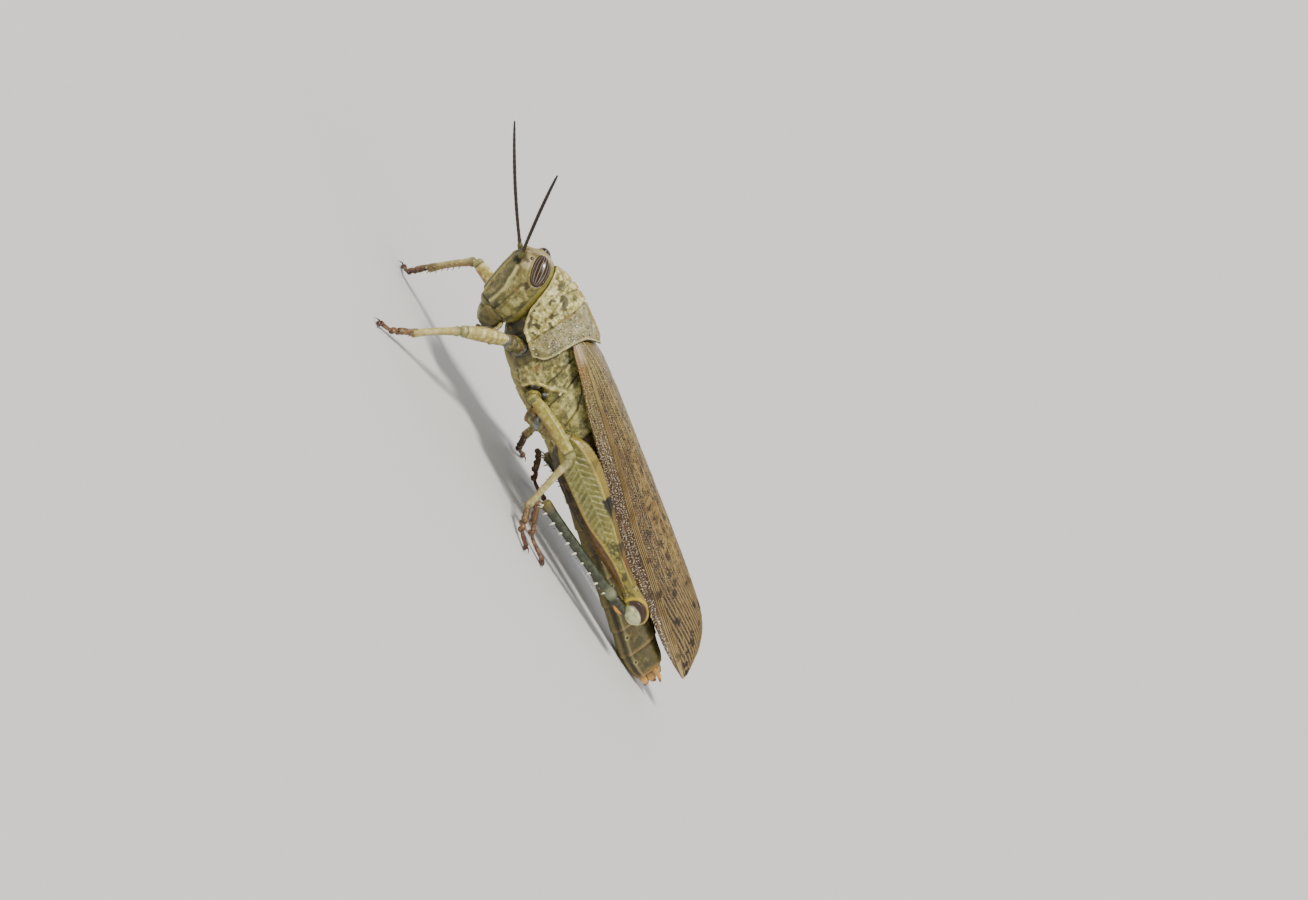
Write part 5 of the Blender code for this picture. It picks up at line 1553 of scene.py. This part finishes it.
def tibia(pair, side):
    _, _, knee, ankle, _ = legPoints(pair, side)
    if pair == "hind":
        knee = knee - np.array(legData["kneeDrop"])
    middle = (knee + ankle) / 2 + (np.array([0, 0, -0.12]) if pair == "hind" else np.array([-0.12, -0.1 * side, 0.1]))

    def change(part, angle, place):
        move = 0.035 * (cloud(place, 0.35, 161, 3) - 0.5)
        move += 0.05 * (bump(np.abs(np.cos(angle)), 0.62, 0.08))
        if pair == "hind":
            move += 0.14 * bump(part, 0.09, 0.03) - 0.12 * bump(part, 0.165, 0.016)
        else:
            move += 0.05 * bump(part, 0.08, 0.04) - 0.06 * bump(part, 0.17, 0.02)
        return move

    def paint(part, angle, place):
        noise = cloud(place, 0.4, 162, 3)
        up = np.sin(angle)
        if pair == "hind":
            glow = bump(part, 0.085, 0.065) * bump(up, -0.52, 0.4) + (noise - 0.5) * 0.3
            # dark grey-green, darker still underneath: the shin's own colour, laid on darker as painted shade under
            # the thigh
            return layered("464a33",
                ("6b6f52", ease(0.46, 0.64, noise) * 0.55),
                ("33382a", ease(0.0, -0.8, up) * 0.5),
                ("b8bb98", bump(part, 0.2, 0.05) * 0.5),
                ("2b2118", bump(part, 0.15, 0.03) * 0.8),
                ("3a2c1c", ease(0.14, 0.1, part) * ease(0.3, -0.2, up) * 0.8),
                (shade("f2a02c", 1), ease(0.5, 0.8, glow) * 0.95),
                ("9c8a4e", ease(0.9, 1.0, part) * 0.6))
        return layered("b7a86a" if pair == "fore" else "b3ab74",
            ("dccf9a", ease(0.45, 0.64, noise) * 0.6 + ease(0.2, 0.9, up) * 0.25),
            ("7f8258", ease(0.2, 0.05, part) * 0.7),
            ("8a6235", ease(-0.2, -0.8, up) * 0.55),
            ("544227", ease(0.55, 0.68, cloud(place, 0.5, 163, 2)) * ease(0.6, 0.9, part) * 0.7),
            ("6d4a33", ease(0.88, 0.98, part) * 0.7))
    name, node = legNames("tibia", pair, side)
    around, along, slotName = (64, 260, "slate") if pair == "hind" else (40, 150, "pale")
    shaft = limb(name, [knee, middle, ankle], legData["tibia"][pair], around, along, 2.2, change=change, paint=paint)
    finished(joined(name, [shaft, spineRow(pair, side, knee, ankle)]), legFinish, slotName, node, angle=50)


footData = {
    # start and end along the foot, rows and color of each joint
    "bits": (
        (-0.03, 0.37, [(0, 0.3, 0.34, 0.34), (0.18, 0.44, 0.43, 0.42), (0.42, 0.43, 0.38, 0.4),
                       (0.8, 0.5, 0.44, 0.44), (1, 0.36, 0.32, 0.32)], "7b6040"),
        (0.36, 0.53, [(0, 0.28, 0.28, 0.28), (0.6, 0.45, 0.37, 0.34), (1, 0.32, 0.28, 0.28)], "7d5636"),
        (0.52, 1.0, [(0, 0.2, 0.22, 0.22), (0.2, 0.25, 0.26, 0.25), (0.7, 0.31, 0.31, 0.29), (0.93, 0.4, 0.37, 0.3),
                     (1, 0.26, 0.26, 0.22)], "6d4834")),
    # place, half length and half width of each pad of the sole
    "pads": ((0.12, 0.42, 0.32), (0.22, 0.42, 0.33), (0.32, 0.46, 0.37), (0.47, 0.46, 0.37)),
    "tip": [(0, 0.2, 0.2, 0.2), (0.5, 0.34, 0.28, 0.26), (1, 0.26, 0.2, 0.2)],
    # height over the ground along the foot, as a part of the height of the ankle
    "drop": [(0.05, 1.0), (0.14, 0.9), (0.34, 0.45), (0.42, 0.35), (0.52, 0.14), (0.75, 0.04), (0.92, 0.02),
             (1.0, 0.0)],
}


def foot(pair, side):
    _, _, _, ankle, toe = legPoints(pair, side)
    if pair == "hind":
        ankle = ankle - np.array(legData["heel"])
    flat = np.array([toe[0] - ankle[0], toe[1] - ankle[1], 0])
    along = unit(flat)
    across = np.cross(along, (0, 0, 1))

    def spot(part, lift=0.0, aside=0.0):
        drop = float(rowsAt(footData["drop"], np.array([part]))[0][0]) if part > 0.05 else 1.0
        place = ankle + flat * part + across * aside
        place[2] = toe[2] + (ankle[2] - toe[2]) * drop + lift
        return place

    def paint(base, dark):
        def color(part, angle, place):
            noise = cloud(place, 0.3, 171, 3)
            return layered(base,
                ("b39468", ease(0.48, 0.66, noise) * 0.6),
                (dark, ease(0.8, 1.0, part) * 0.6 + ease(0.2, 0.0, part) * 0.5),
                ("5c2c1a", ease(-0.3, -0.9, np.sin(angle)) * 0.6))
        return color
    segments = []
    for first, last, rows, base in footData["bits"]:
        ends = [spot(first + (last - first) * k / 4, 0.08) for k in range(5)]
        segments.append(limb("bit", ends, rows, 32, 40, 2.2, paint=paint(base, "4a2c20"), ends=(0.5, 0.6)))
    for part, long, wide in footData["pads"]:
        low = spot(part)
        line = [low - along * long + (0, 0, -0.16), low + (0, 0, -0.24), low + along * long * 0.9 + (0, 0, -0.25)]
        rows = [(0, 0.3, 0.2, 0.2), (0.5, wide, 0.3, 0.32), (1, wide * 0.8, 0.22, 0.22)]
        segments.append(limb("bit", line, rows, 28, 26, 2.2, paint=paint("6b4a37", "47291d"), ends=(0.9, 0.9)))
    line = [spot(0.93, -0.12), spot(1.02, -0.16), spot(1.07, -0.12)]
    segments.append(limb("bit", line, footData["tip"], 28, 26, 2.2, paint=paint("6e3c26", "2f1a12"), ends=(0.9, 0.9)))
    name, node = legNames("tarsus", pair, side)
    made = joined(name, segments)
    softEnd(made)
    finished(made, shellFinish, "sole", node)
    hooks = []
    for way in (1, -1):
        root = spot(0.97, 0.05, 0.2 * way)
        end = root + along * 0.95 + across * 0.55 * way + (0, 0, -0.38)
        hooks.append(cone("claw", root, end, 0.17, 0.02, 10, 0.2, (0, 0, -1)))
    claws = joined(legNames("claws", pair, side)[0], hooks)
    softEnd(claws)
    part = np.zeros(len(claws.data.vertices), np.float32)
    claws.data.attributes["part"].data.foreach_get("value", part)
    tint(claws, layered("6b3a26", ("150e0b", ease(0.2, 0.7, part))))
    finished(claws, hornFinish, "sole", angle=50)


socketSkin()
for side in sideName:
    for pair in ("fore", "mid", "hind"):
        coxa(pair, side)
        tibia(pair, side)
        foot(pair, side)
        if pair == "hind":
            hindFemur(side)
        else:
            slimFemur(pair, side)
print("legs made")


# Floor, light and camera.
studio = {
    "floor": 60.0, "floorColor": "d9d8d4",
    "lens": 148.2, "distance": 0.752,
    "look": (0.01279, 0.01163, 0.01753),           # the point in the middle of the picture
    "right": (0.5080, -0.0053, 0.8613), "up": (-0.8058, 0.3503, 0.4774), "back": (-0.3043, -0.9366, 0.1736),
}


def floorMaterial():
    kit = nodeKit("floorPaper")
    pale = shade(studio["floorColor"], 1)
    grain = kit.noise(kit.add("TexCoord")["Object"], 900.0)["Fac"]
    return kit.done({"Base Color": kit.mixed(grain, pale * 0.985, pale * 1.015), "Roughness": 0.95,
                     "Specular IOR Level": 0.1})


clearPick()
bpy.ops.mesh.primitive_plane_add(size=studio["floor"], location=(0, 0, 0))
floor = bpy.context.object
floor.name = "floor"
floor.data.materials.append(floorMaterial())

world = bpy.data.worlds.new("studioWorld")
world.use_nodes = True
world.node_tree.nodes["Background"].inputs["Color"].default_value = (*shade("f2f5fa", 1), 1)
world.node_tree.nodes["Background"].inputs["Strength"].default_value = 0.5
bpy.context.scene.world = world


def lamp(name, strength, place, spread, color):
    # Even light from far away: a wide spread makes the soft edge of a studio screen.
    clearPick()
    bpy.ops.object.light_add(type="SUN", location=place)
    made = bpy.context.object
    made.name = name
    made.data.energy, made.data.angle, made.data.color = strength, math.radians(spread), color
    made.rotation_euler = Vector(place).to_track_quat("Z", "Y").to_euler()


lamp("keyScreen", 3.6, (-0.30, -0.40, 0.82), 13, (1.0, 0.965, 0.90))
lamp("sideScreen", 0.7, (0.55, -0.60, 0.45), 50, (0.96, 0.98, 1.0))
lamp("rearScreen", 0.7, (0.10, 0.80, 0.55), 40, (0.95, 0.97, 1.0))

clearPick()
bpy.ops.object.camera_add()
camera = bpy.context.object
camera.name = "camera"
camera.data.lens, camera.data.sensor_width = studio["lens"], 36.0
camera.data.clip_start, camera.data.clip_end = 0.01, 200.0
axes = [Vector(studio[k]).normalized() for k in ("right", "up", "back")]
turned = Matrix((axes[0], axes[1], axes[2])).transposed().to_4x4()
camera.matrix_world = Matrix.Translation(Vector(studio["look"]) + axes[2] * studio["distance"]) @ turned
bpy.context.scene.camera = camera
print("floor, light and camera made")
